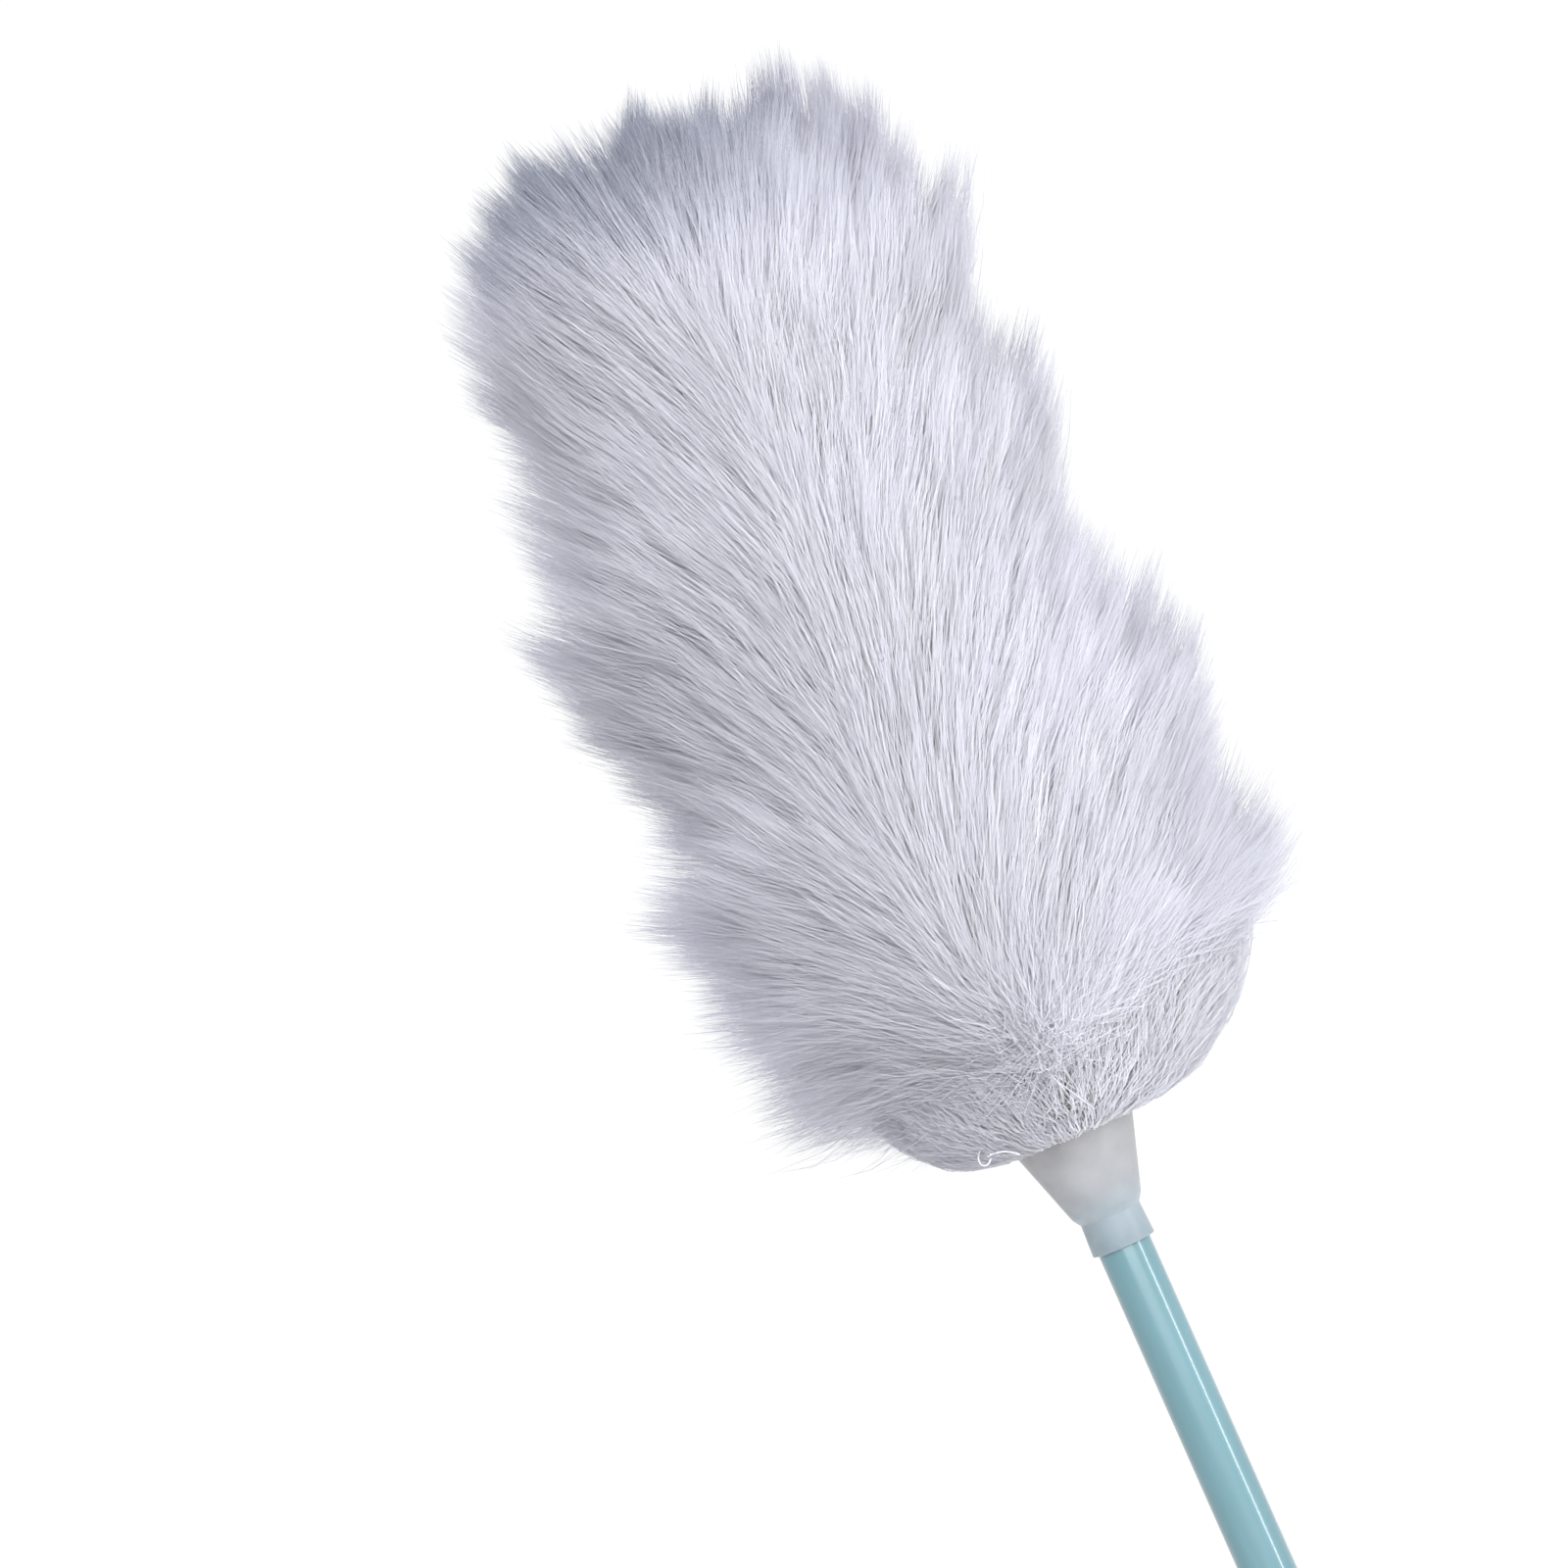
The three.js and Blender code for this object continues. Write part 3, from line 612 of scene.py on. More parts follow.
clump_azimuth, clump_height = place_tips(TIERS * CLUMPS_PER_TIER, LOWEST_TIP)
on_right = on_both_sides(clump_azimuth, 1.0, 0.0)
near_base = np.clip((BARE_UNDER - clump_height) / (BARE_UNDER - LOWEST_TIP), 0, 1)
clump_height += (BALL_TOP - LOWEST_TIP) * (1 - on_right**2) * near_base
for tier in range(TIERS):
    # Clumps: where their tips are, which way they point, and the tuft that each joins.
    chosen = slice(tier * CLUMPS_PER_TIER, (tier + 1) * CLUMPS_PER_TIER)
    azimuth = clump_azimuth[chosen] + rng.normal(0, CLUMP_TURN, CLUMPS_PER_TIER)
    height = clump_height[chosen] + rng.normal(0, CLUMP_RISE, CLUMPS_PER_TIER)
    tip = around(azimuth, reach_at(azimuth, height), height)
    tufts_near = [nearest.find(point) for point in tip]
    tuft = np.array([index for place, index, distance in tufts_near])
    distance = np.array([distance for place, index, distance in tufts_near])
    tip_way = combed(azimuth, height)
    for axis in range(3):
        tip_way[:, axis] += sum(much * ripple(tip, size, layer + axis) for much, size, layer in WAVES)
    tip_way = unit(tip_way)
    hang = on_both_sides(azimuth, HANG_LEFT, HANG_RIGHT) * np.clip((HANG_TOP - height) / HANG_FADE, 0, 1)
    root_way = unit(tip_way * 0.5 + around(azimuth, 1.0, -hang) * 0.9)
    edge = np.abs(np.sin(azimuth))**2
    gathered = (GATHER_FRONT + GATHER_SIDE * edge)[:, None] * (tuft_places[tuft] - tip)
    longer = (REACH_WAVE * ripple(tip, REACH_WAVE_SIZE, 6)
              + (STEP_FRONT + STEP_SIDE * edge) * (tuft_reach[tuft] + TUFT_RADIUS - distance))
    tip += gathered + tip_way * longer[:, None]
    root = tip - STRAND_LENGTH * unit(tip_way * (1 - ROOT_TURN) + root_way * ROOT_TURN)
    bend = rng.normal(0, CLUMP_BEND, (CLUMPS_PER_TIER, 3))

    # Fibres: each clump's, scattered more near the base, with their roots kept inside the pile.
    strands = CLUMPS_PER_TIER * STRANDS_PER_CLUMP
    low_down = np.clip((spread(height) - HANG_TOP) / (LOWEST_TIP - HANG_TOP), 0, 1)
    loose = 1 + LOOSE_BASE * low_down[:, None]
    tip_ways = spread(tip_way) + rng.normal(0, TIP_WAY_SPREAD, (strands, 3)) * loose
    root_ways = spread(root_way) + rng.normal(0, ROOT_WAY_SPREAD, (strands, 3))
    is_stray = rng.random(strands) < STRAY_SHARE * (spread(height) > STRAY_LOWEST)
    stray = is_stray[:, None] * rng.normal(0, STRAY_SPREAD, (strands, 3))
    tips = spread(tip) + rng.normal(0, CLUMP_SPREAD, (strands, 3)) * loose + stray
    tips -= rng.exponential(SHORTER, strands)[:, None] * tip_ways
    roots = spread(root) + rng.normal(0, ROOT_SPREAD, (strands, 3)) * loose
    inner = np.hypot(roots[:, 0], roots[:, 1])
    root_azimuth = np.arctan2(roots[:, 0], -roots[:, 1])
    lowest_root = bare_hem(root_azimuth) + rng.uniform(-ROOT_EDGE, ROOT_EDGE, strands)
    roots[:, 2] = np.maximum(roots[:, 2], lowest_root)
    in_pile = reach_at(root_azimuth, np.clip(roots[:, 2], ROOT_LOWEST, ROOT_HIGHEST), SMOOTH) * ROOT_SHARE
    in_ball = ball_at(root_azimuth, roots[:, 2]) * ROOT_BALL_SHARE
    roots[:, :2] *= np.minimum(1, np.minimum(in_pile, in_ball) / inner)[:, None]
    reach = np.linalg.norm(tips - roots, axis=1)[:, None] * HANDLE
    root_handles = roots + root_ways * reach + spread(bend)
    tip_handles = tips - tip_ways * reach + spread(bend) * 0.5
    radii = STRAND_RADIUS * rng.uniform(THINNEST, THICKEST, strands)
    # Painted shade: clumps near the top, away from the right side, take a greyer tone.
    crown_shade_rise = np.clip((height - TIP_HEIGHT + SHADE_START) / SHADE_FADE, 0, 1)
    crown = crown_shade_rise * np.clip((SHADE_RIGHT - tip[:, 0]) / SHADE_RIGHT_FADE, 0, 1)
    tone = rng.normal(TONE, CLUMP_TONE_SPREAD, CLUMPS_PER_TIER) - CROWN_PAINTED_SHADE * crown
    tones = np.clip(spread(tone) + rng.normal(0, STRAND_TONE_SPREAD, strands), 0, 1)
    facing = spread(pile_normal(azimuth, height))
    grow(f"fleece_locks_{tier + 1:02d}", roots, root_handles, tip_handles, tips, radii, tones, facing)

# ---- Gathered hem ----
# The pile of the lowest turn of the strip, which the thread draws in round the ferrule. Its fibres start at
# the hem and lie close over the ball, so the base looks smooth where the rest is tufted.

HEM_STRANDS = 9000
HEM_LENGTH = 26
HEM_SHORTEST = 0.4
# How far the hem's fibres reach above the lowest lock roots, and how close each layer lies to the ball.
HEM_COVER = 20
HEM_LAYERS = (0.92, 0.99)
HEM_ROOT_SHARE = 0.8
HEM_CROWDING = 1.3
HEM_WAVE = 0.15
HEM_WAVE_SIZE = 18
HEM_WAVE_RADIUS = 60
HEM_TURN = 0.08
HEM_THINNEST = 0.8
HEM_THICKEST = 1.3
HEM_HANDLE_OUT = 0.3
BALL_SPAN = 4
# Softens the shading under the ball by facing the fibres a little out and up.
FACE_OUT = 0.5
FACE_UP = 0.25


def ball_lean(azimuth, height):
    """Angle of the ball's outline above the level: it lies flat at the hem and stands up at the sides."""
    above = ball_at(azimuth, height + BALL_SPAN)
    below = ball_at(azimuth, height - BALL_SPAN)
    return np.arctan2(2 * BALL_SPAN, above - below)


for layer, closeness in enumerate(HEM_LAYERS):
    start = rng.uniform(0, 2 * math.pi, HEM_STRANDS)
    top = bare_hem(start) + HEM_COVER
    rise = HEM_HEIGHT + (top - HEM_HEIGHT) * rng.random(HEM_STRANDS)**HEM_CROWDING
    waved = HEM_WAVE * ripple(around(start, HEM_WAVE_RADIUS, rise), HEM_WAVE_SIZE, layer + 1)
    ends = start + waved + rng.normal(0, HEM_TURN, HEM_STRANDS)
    length = HEM_LENGTH * rng.uniform(HEM_SHORTEST, 1.0, HEM_STRANDS)
    climb = rise + length * np.sin(ball_lean(start, rise))
    root_out = np.maximum(ball_at(start, rise) * HEM_ROOT_SHARE, HEM_RADIUS + 1)
    hem_roots = around(start, root_out, rise + 0.5)
    hem_tips = around(ends, ball_at(ends, climb) * closeness * rng.uniform(0.95, 1.02, HEM_STRANDS), climb)
    hem_reach = np.linalg.norm(hem_tips - hem_roots, axis=1)[:, None] * HANDLE
    hem_lean = ball_lean(ends, climb)
    hem_facing = unit(around(ends, np.sin(hem_lean) + FACE_OUT, -np.cos(hem_lean) + FACE_UP))
    hem_along = np.cross(hem_facing, np.cross(np.array([0.0, 0.0, 1.0]), hem_facing))
    hem_root_handles = hem_roots + hem_facing * hem_reach * HEM_HANDLE_OUT
    hem_tip_handles = hem_tips - unit(hem_along) * hem_reach
    hem_radii = STRAND_RADIUS * rng.uniform(HEM_THINNEST, HEM_THICKEST, HEM_STRANDS)
    hem_tones = np.clip(rng.normal(TONE, CLUMP_TONE_SPREAD, HEM_STRANDS), 0, 1)
    grow(f"fleece_hem_{layer + 1:02d}", hem_roots, hem_root_handles, hem_tip_handles, hem_tips, hem_radii,
         hem_tones, hem_facing)

# ---- Loose thread ----
# The waxed white end of the thread that gathers the hem. It was left long, and lies curled on the ball just
# beside the ferrule.

THREAD_RADIUS = 0.22 * MM
THREAD_STEPS = 28
LOOP_RADIUS = 2.6 * MM
LOOP_HEIGHT = 44
LOOP_AZIMUTH = math.radians(-42)
LOOP_PROUD = 1 * MM
TAIL_RADIUS = 16 * MM
TAIL_START = 4 * MM
# Waxed polyester thread: twisted from plies, so that fine slanting ridges catch the light.
thread_wax, tree = new_material("waxed_thread")
place = add(tree, "ShaderNodeTexCoord").outputs["Object"]
twist = add(tree, "ShaderNodeTexWave", {"Scale": repeats(0.7), "Distortion": 1.0},
            {"Vector": place}, bands_direction="DIAGONAL")
colour = add(tree, "ShaderNodeValToRGB", links={"Fac": twist.outputs["Fac"]},
             stops=[(0.0, "#d9dade"), (1.0, "#fbfbfd")]).outputs["Color"]
bump = add(tree, "ShaderNodeBump", {"Strength": 0.5, "Distance": 0.1 * MM}, {"Height": twist.outputs["Fac"]})
shader = add(tree, "ShaderNodeBsdfPrincipled", {"Roughness": 0.45},
             {"Base Color": colour, "Normal": bump.outputs["Normal"]})
add(tree, "ShaderNodeOutputMaterial", links={"Surface": shader.outputs["BSDF"]})


def thread_arc(shape, centre, radius, turn, angle, tilt):
    """Adds a length of thread bent round a centre, in a plane tilted about the line along the ball."""
    upright = Matrix.Translation((radius, 0, 0)) @ Matrix.Rotation(math.pi / 2, 4, "X")
    ring = bmesh.ops.create_circle(shape, cap_ends=True, segments=8, radius=THREAD_RADIUS, matrix=upright)
    faces = list({face for vert in ring["verts"] for face in vert.link_faces})
    bmesh.ops.spin(shape, geom=faces, cent=(0, 0, 0), axis=(0, 0, 1), angle=angle, steps=THREAD_STEPS)
    moved = [vert for vert in shape.verts if not vert.tag]
    for turned, axis in ((turn, "Z"), (tilt, "X"), (LOOP_AZIMUTH, "Z")):
        bmesh.ops.rotate(shape, verts=moved, cent=(0, 0, 0), matrix=Matrix.Rotation(turned, 3, axis))
    bmesh.ops.translate(shape, verts=moved, vec=centre)
    for vert in shape.verts:
        vert.tag = True


loop_out = float(ball_at(LOOP_AZIMUTH, LOOP_HEIGHT)) * MM + LOOP_PROUD
loop_centre = Vector((loop_out * math.sin(LOOP_AZIMUTH), -loop_out * math.cos(LOOP_AZIMUTH),
                      collar + LOOP_HEIGHT * MM))
thread_shape = bmesh.new()
thread_arc(thread_shape, loop_centre, LOOP_RADIUS, 0, math.radians(330), math.radians(70))
tail_shift = Vector((TAIL_START, 0, -TAIL_RADIUS))
tail_shift.rotate(Matrix.Rotation(LOOP_AZIMUTH, 3, "Z"))
thread_arc(thread_shape, loop_centre + tail_shift, TAIL_RADIUS, math.radians(55), math.radians(45),
           math.radians(90))
bmesh.ops.recalc_face_normals(thread_shape, faces=thread_shape.faces)
loose_thread = finished("loose_thread", thread_shape, thread_wax)
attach(loose_thread, "head")
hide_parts("gather_thread")

# ---- Ferrule ----
# One natural polypropylene moulding, milky and slightly clear: a short collar that grips the tube and a thin
# cone pushed over the gathered hem. Its colour is painted blue-grey low down, a painted show-through of the
# tube close behind.

FERRULE_EDGE = 0.35


def rounded(shape, width, above=25):
    """Rounds off every edge that turns by more than an angle in degrees."""
    turn = math.radians(above)
    sharp = [edge for edge in shape.edges if len(edge.link_faces) == 2 and edge.calc_face_angle() > turn]
    bmesh.ops.bevel(shape, geom=sharp, offset=width * MM, segments=3, affect="EDGES", profile=0.5,
                    material=-1, clamp_overlap=True)
    bmesh.ops.recalc_face_normals(shape, faces=shape.faces)
    return shape


# Natural polypropylene from a polished mould: milky, softly glossy, with faint clouds and a very fine grain.
milky, tree = new_material("natural_polypropylene")
place = add(tree, "ShaderNodeTexCoord").outputs["Object"]
axes = add(tree, "ShaderNodeSeparateXYZ", links={"Vector": place})
ferrule_low, ferrule_high = (corner.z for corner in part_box("ferrule"))
rise = add(tree, "ShaderNodeMapRange", {"From Min": ferrule_low, "From Max": ferrule_high},
           {"Value": axes.outputs["Z"]})
# Painted show-through: the colour runs from blue-grey at the collar, standing for the tube seen through the
# plastic, to neutral grey at the rim.
base_and_painted_show_through = add(tree, "ShaderNodeValToRGB", links={"Fac": rise.outputs["Result"]},
           stops=[(0.0, "#7c8b93"), (0.24, "#828d94"), (0.45, "#8b8e92"), (0.8, "#919194")]).outputs["Color"]
cloud = add(tree, "ShaderNodeTexNoise", {"Scale": repeats(11), "Detail": 3}, {"Vector": place})
shade = add(tree, "ShaderNodeValToRGB", links={"Fac": cloud.outputs["Fac"]},
            stops=[(0.3, "#e9e9ea"), (0.7, "#ffffff")]).outputs["Color"]
colour = add(tree, "ShaderNodeMix", {"Factor": 1.0}, {"A": base_and_painted_show_through, "B": shade},
             data_type="RGBA", blend_type="MULTIPLY")
grain = add(tree, "ShaderNodeTexNoise", {"Scale": repeats(0.45), "Detail": 2}, {"Vector": place})
bump = add(tree, "ShaderNodeBump", {"Strength": 0.15, "Distance": 0.05 * MM},
           {"Height": grain.outputs["Fac"]})
shader = add(tree, "ShaderNodeBsdfPrincipled", {"Roughness": 0.38, "IOR": 1.49, "Subsurface Weight": 0.5,
              "Subsurface Scale": 2 * MM, "Subsurface Radius": (1.0, 1.0, 1.0)},
             {"Base Color": colour.outputs["Result"], "Normal": bump.outputs["Normal"]})
add(tree, "ShaderNodeOutputMaterial", links={"Surface": shader.outputs["BSDF"]})

TUBE_FIT = 8.8
COLLAR_TOP = 10.4
CONE_BASE = 13
CONE_TOP = 44
ferrule_shape = spun([(TUBE_FIT, 0), (10.2, 0), (9.7, COLLAR_TOP), (11.5, CONE_BASE), (21.4, CONE_TOP),
                      (20.2, CONE_TOP), (10.3, CONE_BASE), (TUBE_FIT, COLLAR_TOP)], 96, collar)
ferrule = finished("ferrule_sleeve", rounded(ferrule_shape, FERRULE_EDGE, 12), milky)
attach(ferrule, "head")
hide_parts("ferrule")

# ---- Telescopic tubes ----
# Drawn steel tubes in a glossy aqua plastic coat, which has a faint orange peel. The upper tube slides in the
# lower one.

# Extruded plastic film on a drawn tube: glossy, with streaks along the tube and a slight orange peel.
coat, tree = new_material("aqua_plastic_coat")
place = add(tree, "ShaderNodeTexCoord").outputs["Object"]
drawn = add(tree, "ShaderNodeMapping", {"Scale": (1, 1, 0.1)}, {"Vector": place}).outputs["Vector"]
streaks = add(tree, "ShaderNodeTexNoise", {"Scale": repeats(6.2), "Detail": 3}, {"Vector": drawn})
colour = add(tree, "ShaderNodeValToRGB", links={"Fac": streaks.outputs["Fac"]},
             stops=[(0.3, "#4f737c"), (0.7, "#567b84")]).outputs["Color"]
peel = add(tree, "ShaderNodeTexNoise", {"Scale": repeats(1.4), "Detail": 1}, {"Vector": place})
bump = add(tree, "ShaderNodeBump", {"Strength": 0.06, "Distance": 0.05 * MM}, {"Height": peel.outputs["Fac"]})
shader = add(tree, "ShaderNodeBsdfPrincipled", {"Roughness": 0.3, "Coat Weight": 0.8, "Coat Roughness": 0.08},
             {"Base Color": colour, "Normal": bump.outputs["Normal"]})
add(tree, "ShaderNodeOutputMaterial", links={"Surface": shader.outputs["BSDF"]})


def tube(name, node, wall, body):
    """A smooth round tube in place of a CAD tube of that wall thickness."""
    lowest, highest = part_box(node)
    outer = highest.x / MM
    length = (highest.z - lowest.z) / MM
    outline = [(outer - wall, 0), (outer, 0), (outer, length), (outer - wall, length)]
    piece = finished(name, rounded(spun(outline, 96, lowest.z), 0.25), coat)
    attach(piece, body)
    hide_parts(node)


tube("upper_tube_coated", "upper_tube", 0.8, "head")
tube("lower_tube_coated", "lower_tube", 0.9, "handle")

# ---- Screwed clamp ----
# Clamp body and nut are moulded in dark glass-filled nylon with a fine spark-eroded grain. The body is
# riveted to the lower tube; the nut has sixteen flutes for the fingers.

# Glass-filled nylon from a spark-eroded mould: a fine even grain that breaks up the shine.
moulded, tree = new_material("dark_moulded_nylon")
place = add(tree, "ShaderNodeTexCoord").outputs["Object"]
eroded = add(tree, "ShaderNodeTexNoise", {"Scale": repeats(0.55), "Detail": 4}, {"Vector": place})
flow = add(tree, "ShaderNodeTexNoise", {"Scale": repeats(17), "Detail": 3}, {"Vector": place})
colour = add(tree, "ShaderNodeValToRGB", links={"Fac": flow.outputs["Fac"]},
             stops=[(0.3, "#46575e"), (0.7, "#506169")]).outputs["Color"]
rough = add(tree, "ShaderNodeMapRange", {"To Min": 0.38, "To Max": 0.55}, {"Value": eroded.outputs["Fac"]})
bump = add(tree, "ShaderNodeBump", {"Strength": 0.25, "Distance": 0.06 * MM},
           {"Height": eroded.outputs["Fac"]})
shader = add(tree, "ShaderNodeBsdfPrincipled",
             links={"Base Color": colour, "Roughness": rough.outputs["Result"],
                    "Normal": bump.outputs["Normal"]})
add(tree, "ShaderNodeOutputMaterial", links={"Surface": shader.outputs["BSDF"]})

HUB_BORE = 10.8
HUB_RADIUS = 13.5
HUB_LENGTH = 26
SPIGOT_RADIUS = 12.5
SEAT_RADIUS = 11
SHOULDER_RISE = 2
SEAT_RISE = 36
SPIGOT_RISE = 42
THREAD_PITCH = 2
clamp_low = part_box("clamp_body")[0].z
spigot_threads = []
for turn in range(6):
    crest = HUB_LENGTH + 3 + turn * THREAD_PITCH
    spigot_threads += [(SPIGOT_RADIUS - 0.5, crest), (SPIGOT_RADIUS, crest + 0.6),
                       (SPIGOT_RADIUS, crest + 1.2), (SPIGOT_RADIUS - 0.5, crest + 1.8)]
body_outline = [(HUB_BORE, 0), (HUB_RADIUS, 0), (HUB_RADIUS, HUB_LENGTH), (SPIGOT_RADIUS - 0.5, HUB_LENGTH)]
body_outline += spigot_threads
body_outline += [(SEAT_RADIUS, SPIGOT_RISE), (SEAT_RADIUS - 1, SEAT_RISE), (TUBE_FIT, SEAT_RISE),
                 (TUBE_FIT, HUB_LENGTH + SHOULDER_RISE), (HUB_BORE, HUB_LENGTH + SHOULDER_RISE)]
clamp_shape = rounded(spun(body_outline, 96, clamp_low), 0.6, 60)
clamp_body = finished("clamp_body_moulding", clamp_shape, moulded)
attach(clamp_body, "handle")
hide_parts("clamp_body")

FLUTES = 16
FLUTE_DEPTH = 0.9
FLUTE_FADE = 3
NUT_BORE = 12.8
NUT_LIP = 4
nut_low, nut_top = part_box("lock_nut")
nut_radius = nut_top.x / MM
nut_length = (nut_top.z - nut_low.z) / MM
nut_outline = [(NUT_BORE, 0), (nut_radius - 0.8, 0), (nut_radius, 0.8)]
nut_outline += [(nut_radius, 0.8 + (nut_length - 1.6) * i / 16) for i in range(1, 17)]
nut_outline += [(nut_radius - 0.8, nut_length), (TUBE_FIT, nut_length), (TUBE_FIT, nut_length - NUT_LIP),
                (NUT_BORE, nut_length - NUT_LIP)]
nut_shape = spun(nut_outline, FLUTES * 12, nut_low.z)
for vert in nut_shape.verts:
    out = math.hypot(vert.co.x, vert.co.y)
    if out > (nut_radius - 0.1) * MM:
        rim = min(vert.co.z - nut_low.z, nut_top.z - vert.co.z) / MM
        wave = math.cos(FLUTES * math.atan2(vert.co.y, vert.co.x))
        depth = FLUTE_DEPTH * min(1, rim / FLUTE_FADE) * max(0, wave)
        vert.co.xy *= 1 - depth * MM / out
lock_nut = finished("lock_nut_moulding", nut_shape, moulded)
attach(lock_nut, "clamp")
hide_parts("lock_nut")

# ---- Steel pins, rivet and tacks ----
# Plain bright-drawn steel. The rivet's head is set a little proud of the clamp body; the pins and tacks are
# hidden once the duster is together.

# Bright-drawn steel: fine random scratches, which spread the highlight.
steel, tree = new_material("bright_steel")
place = add(tree, "ShaderNodeTexCoord").outputs["Object"]
brushed = add(tree, "ShaderNodeTexNoise", {"Scale": repeats(0.33), "Detail": 2}, {"Vector": place})
colour = add(tree, "ShaderNodeValToRGB", links={"Fac": brushed.outputs["Fac"]},
             stops=[(0.3, "#b4b6b8"), (0.7, "#cfd1d2")]).outputs["Color"]
rough = add(tree, "ShaderNodeMapRange", {"To Min": 0.22, "To Max": 0.4}, {"Value": brushed.outputs["Fac"]})
shader = add(tree, "ShaderNodeBsdfPrincipled", {"Metallic": 1.0},
             {"Base Color": colour, "Roughness": rough.outputs["Result"]})
add(tree, "ShaderNodeOutputMaterial", links={"Surface": shader.outputs["BSDF"]})

RIVET_RADIUS = 1.6
RIVET_DOME = 0.6
rivet_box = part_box("clamp_rivet")
rivet_out = HUB_RADIUS - 0.1
rivet_in = rivet_box[0].x / MM
rivet_outline = [(0, rivet_in), (1.4, rivet_in), (1.4, rivet_out), (RIVET_RADIUS, rivet_out)]
rivet_outline += [(RIVET_RADIUS * math.cos(angle), rivet_out + RIVET_DOME * math.sin(angle))
                  for angle in (0.3, 0.6, 0.9, 1.2)]
rivet_outline += [(0, rivet_out + RIVET_DOME)]
rivet_shape = spun(rivet_outline, 32, 0)
bmesh.ops.rotate(rivet_shape, verts=rivet_shape.verts, matrix=Matrix.Rotation(math.pi / 2, 3, "Y"))
bmesh.ops.translate(rivet_shape, verts=rivet_shape.verts, vec=(0, 0, (rivet_box[0].z + rivet_box[1].z) / 2))
rivet = finished("clamp_rivet_domed", rivet_shape, steel)
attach(rivet, "handle")
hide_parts("clamp_rivet")


def dress(material, *nodes):
    """Gives CAD nodes that keep their shape a material."""
    for node in nodes:
        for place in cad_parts[node].material_slots:
            place.material = material


dress(steel, "base_tack", "top_tack", "core_pin", "foot_pin", "cap_pin")

# ---- Grip sleeve ----
# Soft black-teal rubber, moulded as a sleeve with nine rounded finger grooves and pulled over the lower tube.

# Soft grip rubber: a pebbled matt skin, rubbed a little shinier where the hand holds it.
rubber, tree = new_material("soft_grip_rubber")
place = add(tree, "ShaderNodeTexCoord").outputs["Object"]
pebble = add(tree, "ShaderNodeTexVoronoi", {"Scale": repeats(1.1)}, {"Vector": place})
handling = add(tree, "ShaderNodeTexNoise", {"Scale": repeats(22), "Detail": 5}, {"Vector": place})
colour = add(tree, "ShaderNodeValToRGB", links={"Fac": handling.outputs["Fac"]},
             stops=[(0.3, "#37444a"), (0.7, "#414f55")]).outputs["Color"]
rough = add(tree, "ShaderNodeMapRange", {"To Min": 0.68, "To Max": 0.88}, {"Value": handling.outputs["Fac"]})
bump = add(tree, "ShaderNodeBump", {"Strength": 0.35, "Distance": 0.1 * MM},
           {"Height": pebble.outputs["Distance"]})
shader = add(tree, "ShaderNodeBsdfPrincipled", {"Specular IOR Level": 0.4},
             {"Base Color": colour, "Roughness": rough.outputs["Result"], "Normal": bump.outputs["Normal"]})
add(tree, "ShaderNodeOutputMaterial", links={"Surface": shader.outputs["BSDF"]})

GROOVES = 9
GROOVE_WIDTH = 3.6
GROOVE_DEPTH = 0.8
grip_low, grip_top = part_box("grip_sleeve")
grip_radius = grip_top.x / MM
grip_length = (grip_top.z - grip_low.z) / MM
pitch = grip_length / (GROOVES + 1)
grip_outline = [(HUB_BORE, 0), (grip_radius - 2, 0)]
grip_outline += [(grip_radius - 2 + 2 * math.sin(angle), 2 - 2 * math.cos(angle))
                 for angle in (0.4, 0.8, 1.2, 1.57)]
for groove in range(1, GROOVES + 1):
    for step in range(9):
        across = -0.5 + step / 8
        depth = GROOVE_DEPTH * math.cos(math.pi * across)**2
        grip_outline.append((grip_radius - depth, groove * pitch + across * GROOVE_WIDTH))
grip_outline += [(grip_radius - 2 + 2 * math.cos(angle), grip_length - 2 + 2 * math.sin(angle))
                 for angle in (0, 0.4, 0.8, 1.2)]
grip_outline += [(grip_radius - 2, grip_length), (HUB_BORE, grip_length)]
grip = finished("grip_sleeve_rubber", spun(grip_outline, 96, grip_low.z), rubber)
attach(grip, "handle")
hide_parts("grip_sleeve")

# ---- End cap ----
# The same dark nylon as the clamp: a plug pinned in the lower tube, a round flange and a flat tab with a hole
# to hang the duster by. Its edges are rounded by the mould.

TAB_HALF = 12
TAB_HOLE = 5.5
TAB_ROUND = 1.0
TAB_STEPS = 48
tab_thickness = 8
cap_low, cap_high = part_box("end_cap")
cap_radius = cap_high.x / MM
plug_radius = 9.3
flange_low = 2 * TAB_HALF
flange_high = flange_low + 8
plug_high = (cap_high.z - cap_low.z) / MM
cap_shape = rounded(spun([(0, flange_low), (cap_radius, flange_low), (cap_radius, flange_high),
                          (plug_radius, flange_high), (plug_radius, plug_high), (0, plug_high)],
                         96, cap_low.z), 1.2)
cap = finished("end_cap_moulding", cap_shape, moulded)

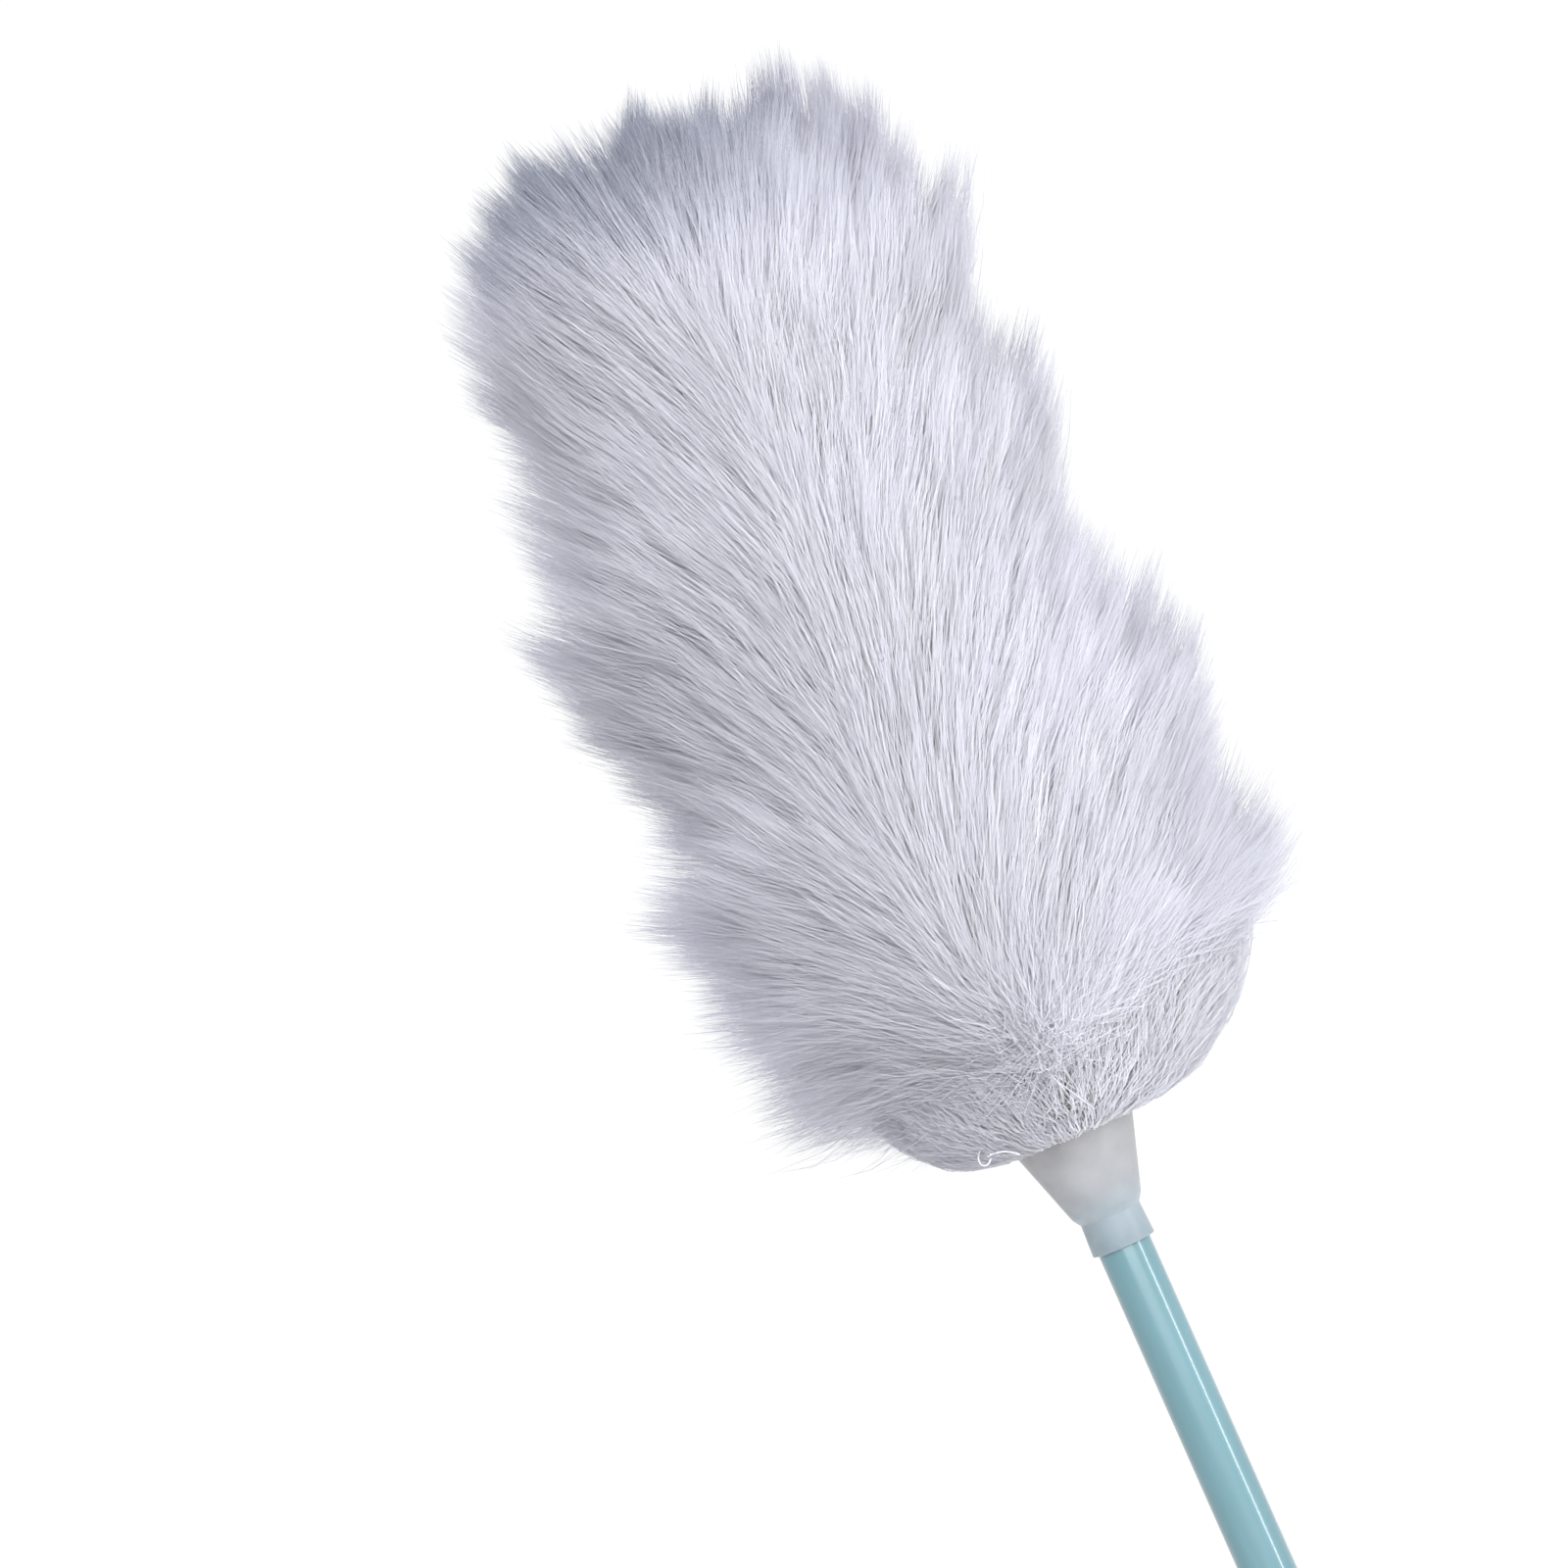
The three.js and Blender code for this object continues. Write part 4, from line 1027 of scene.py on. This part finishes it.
tab_shape = bmesh.new()
rim = []
hole = []
for step in range(TAB_STEPS):
    angle = 2 * math.pi * step / TAB_STEPS
    across, up = TAB_HALF * math.sin(angle), TAB_HALF - TAB_HALF * math.cos(angle)
    if up > TAB_HALF:
        stretch = 1 / max(abs(math.sin(angle)), abs(math.cos(angle)))
        across *= stretch
        up = TAB_HALF + (up - TAB_HALF) * stretch
    rim.append(tab_shape.verts.new((across * MM, -tab_thickness / 2 * MM, up * MM)))
    hole.append(tab_shape.verts.new((TAB_HOLE * math.sin(angle) * MM, -tab_thickness / 2 * MM,
                                     (TAB_HALF - TAB_HOLE * math.cos(angle)) * MM)))
loops = [tab_shape.edges.new((ring[i - 1], ring[i])) for ring in (rim, hole) for i in range(TAB_STEPS)]
face = bmesh.ops.bridge_loops(tab_shape, edges=loops)["faces"]
thick = bmesh.ops.extrude_face_region(tab_shape, geom=face, use_keep_orig=True)
moved = [part for part in thick["geom"] if isinstance(part, bmesh.types.BMVert)]
bmesh.ops.translate(tab_shape, verts=moved, vec=(0, tab_thickness * MM, 0))
bmesh.ops.recalc_face_normals(tab_shape, faces=tab_shape.faces)
tab = finished("hanging_tab_moulding", rounded(tab_shape, TAB_ROUND, 60), moulded)
for piece in (cap, tab):
    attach(piece, "handle")
    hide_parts("end_cap")

# ---- Core, backing and bushes ----
# Hidden working parts: an extruded winding core and its plug, the knitted backing wound on it, and the
# slippery natural nylon bush and split ring.

# Undyed nylon: ivory, slightly clear and cloudy inside.
natural, tree = new_material("natural_nylon")
place = add(tree, "ShaderNodeTexCoord").outputs["Object"]
natural_cloud = add(tree, "ShaderNodeTexNoise", {"Scale": repeats(8), "Detail": 3}, {"Vector": place})
colour = add(tree, "ShaderNodeValToRGB", links={"Fac": natural_cloud.outputs["Fac"]},
             stops=[(0.3, "#dddcd4"), (0.7, "#ebeae4")]).outputs["Color"]
shader = add(tree, "ShaderNodeBsdfPrincipled",
             {"Roughness": 0.42, "Subsurface Weight": 0.2, "Subsurface Scale": 1.5 * MM},
             {"Base Color": colour})
add(tree, "ShaderNodeOutputMaterial", links={"Surface": shader.outputs["BSDF"]})
dress(natural, "foot_bush", "clamp_ring")

# Extruded grey plastic: fine die lines run along it.
extruded, tree = new_material("grey_core_plastic")
place = add(tree, "ShaderNodeTexCoord").outputs["Object"]
die_lines = add(tree, "ShaderNodeMapping", {"Scale": (1, 1, 0.03)}, {"Vector": place})
lines = add(tree, "ShaderNodeTexNoise", {"Scale": repeats(1.1), "Detail": 2},
            {"Vector": die_lines.outputs["Vector"]})
colour = add(tree, "ShaderNodeValToRGB", links={"Fac": lines.outputs["Fac"]},
             stops=[(0.3, "#bfbfba"), (0.7, "#cdcdc8")]).outputs["Color"]
bump = add(tree, "ShaderNodeBump", {"Strength": 0.3, "Distance": 0.05 * MM}, {"Height": lines.outputs["Fac"]})
shader = add(tree, "ShaderNodeBsdfPrincipled", {"Roughness": 0.5},
             {"Base Color": colour, "Normal": bump.outputs["Normal"]})
add(tree, "ShaderNodeOutputMaterial", links={"Surface": shader.outputs["BSDF"]})
dress(extruded, "winding_core", "tip_plug")

# Knitted cotton backing: ribs about 4 mm apart, drawn coarser than the real stitches so that they show.
knit, tree = new_material("knitted_backing")
place = add(tree, "ShaderNodeTexCoord").outputs["Object"]
wales = add(tree, "ShaderNodeTexWave", {"Scale": repeats(3.8), "Distortion": 1.5},
            {"Vector": place}, bands_direction="Z")
colour = add(tree, "ShaderNodeValToRGB", links={"Fac": wales.outputs["Fac"]},
             stops=[(0.2, "#c3beb3"), (0.8, "#dcd8cf")]).outputs["Color"]
bump = add(tree, "ShaderNodeBump", {"Strength": 0.7, "Distance": 0.4 * MM}, {"Height": wales.outputs["Fac"]})
shader = add(tree, "ShaderNodeBsdfPrincipled", {"Roughness": 0.92, "Sheen Weight": 0.3},
             {"Base Color": colour, "Normal": bump.outputs["Normal"]})
add(tree, "ShaderNodeOutputMaterial", links={"Surface": shader.outputs["BSDF"]})
dress(knit, "fleece_backing")
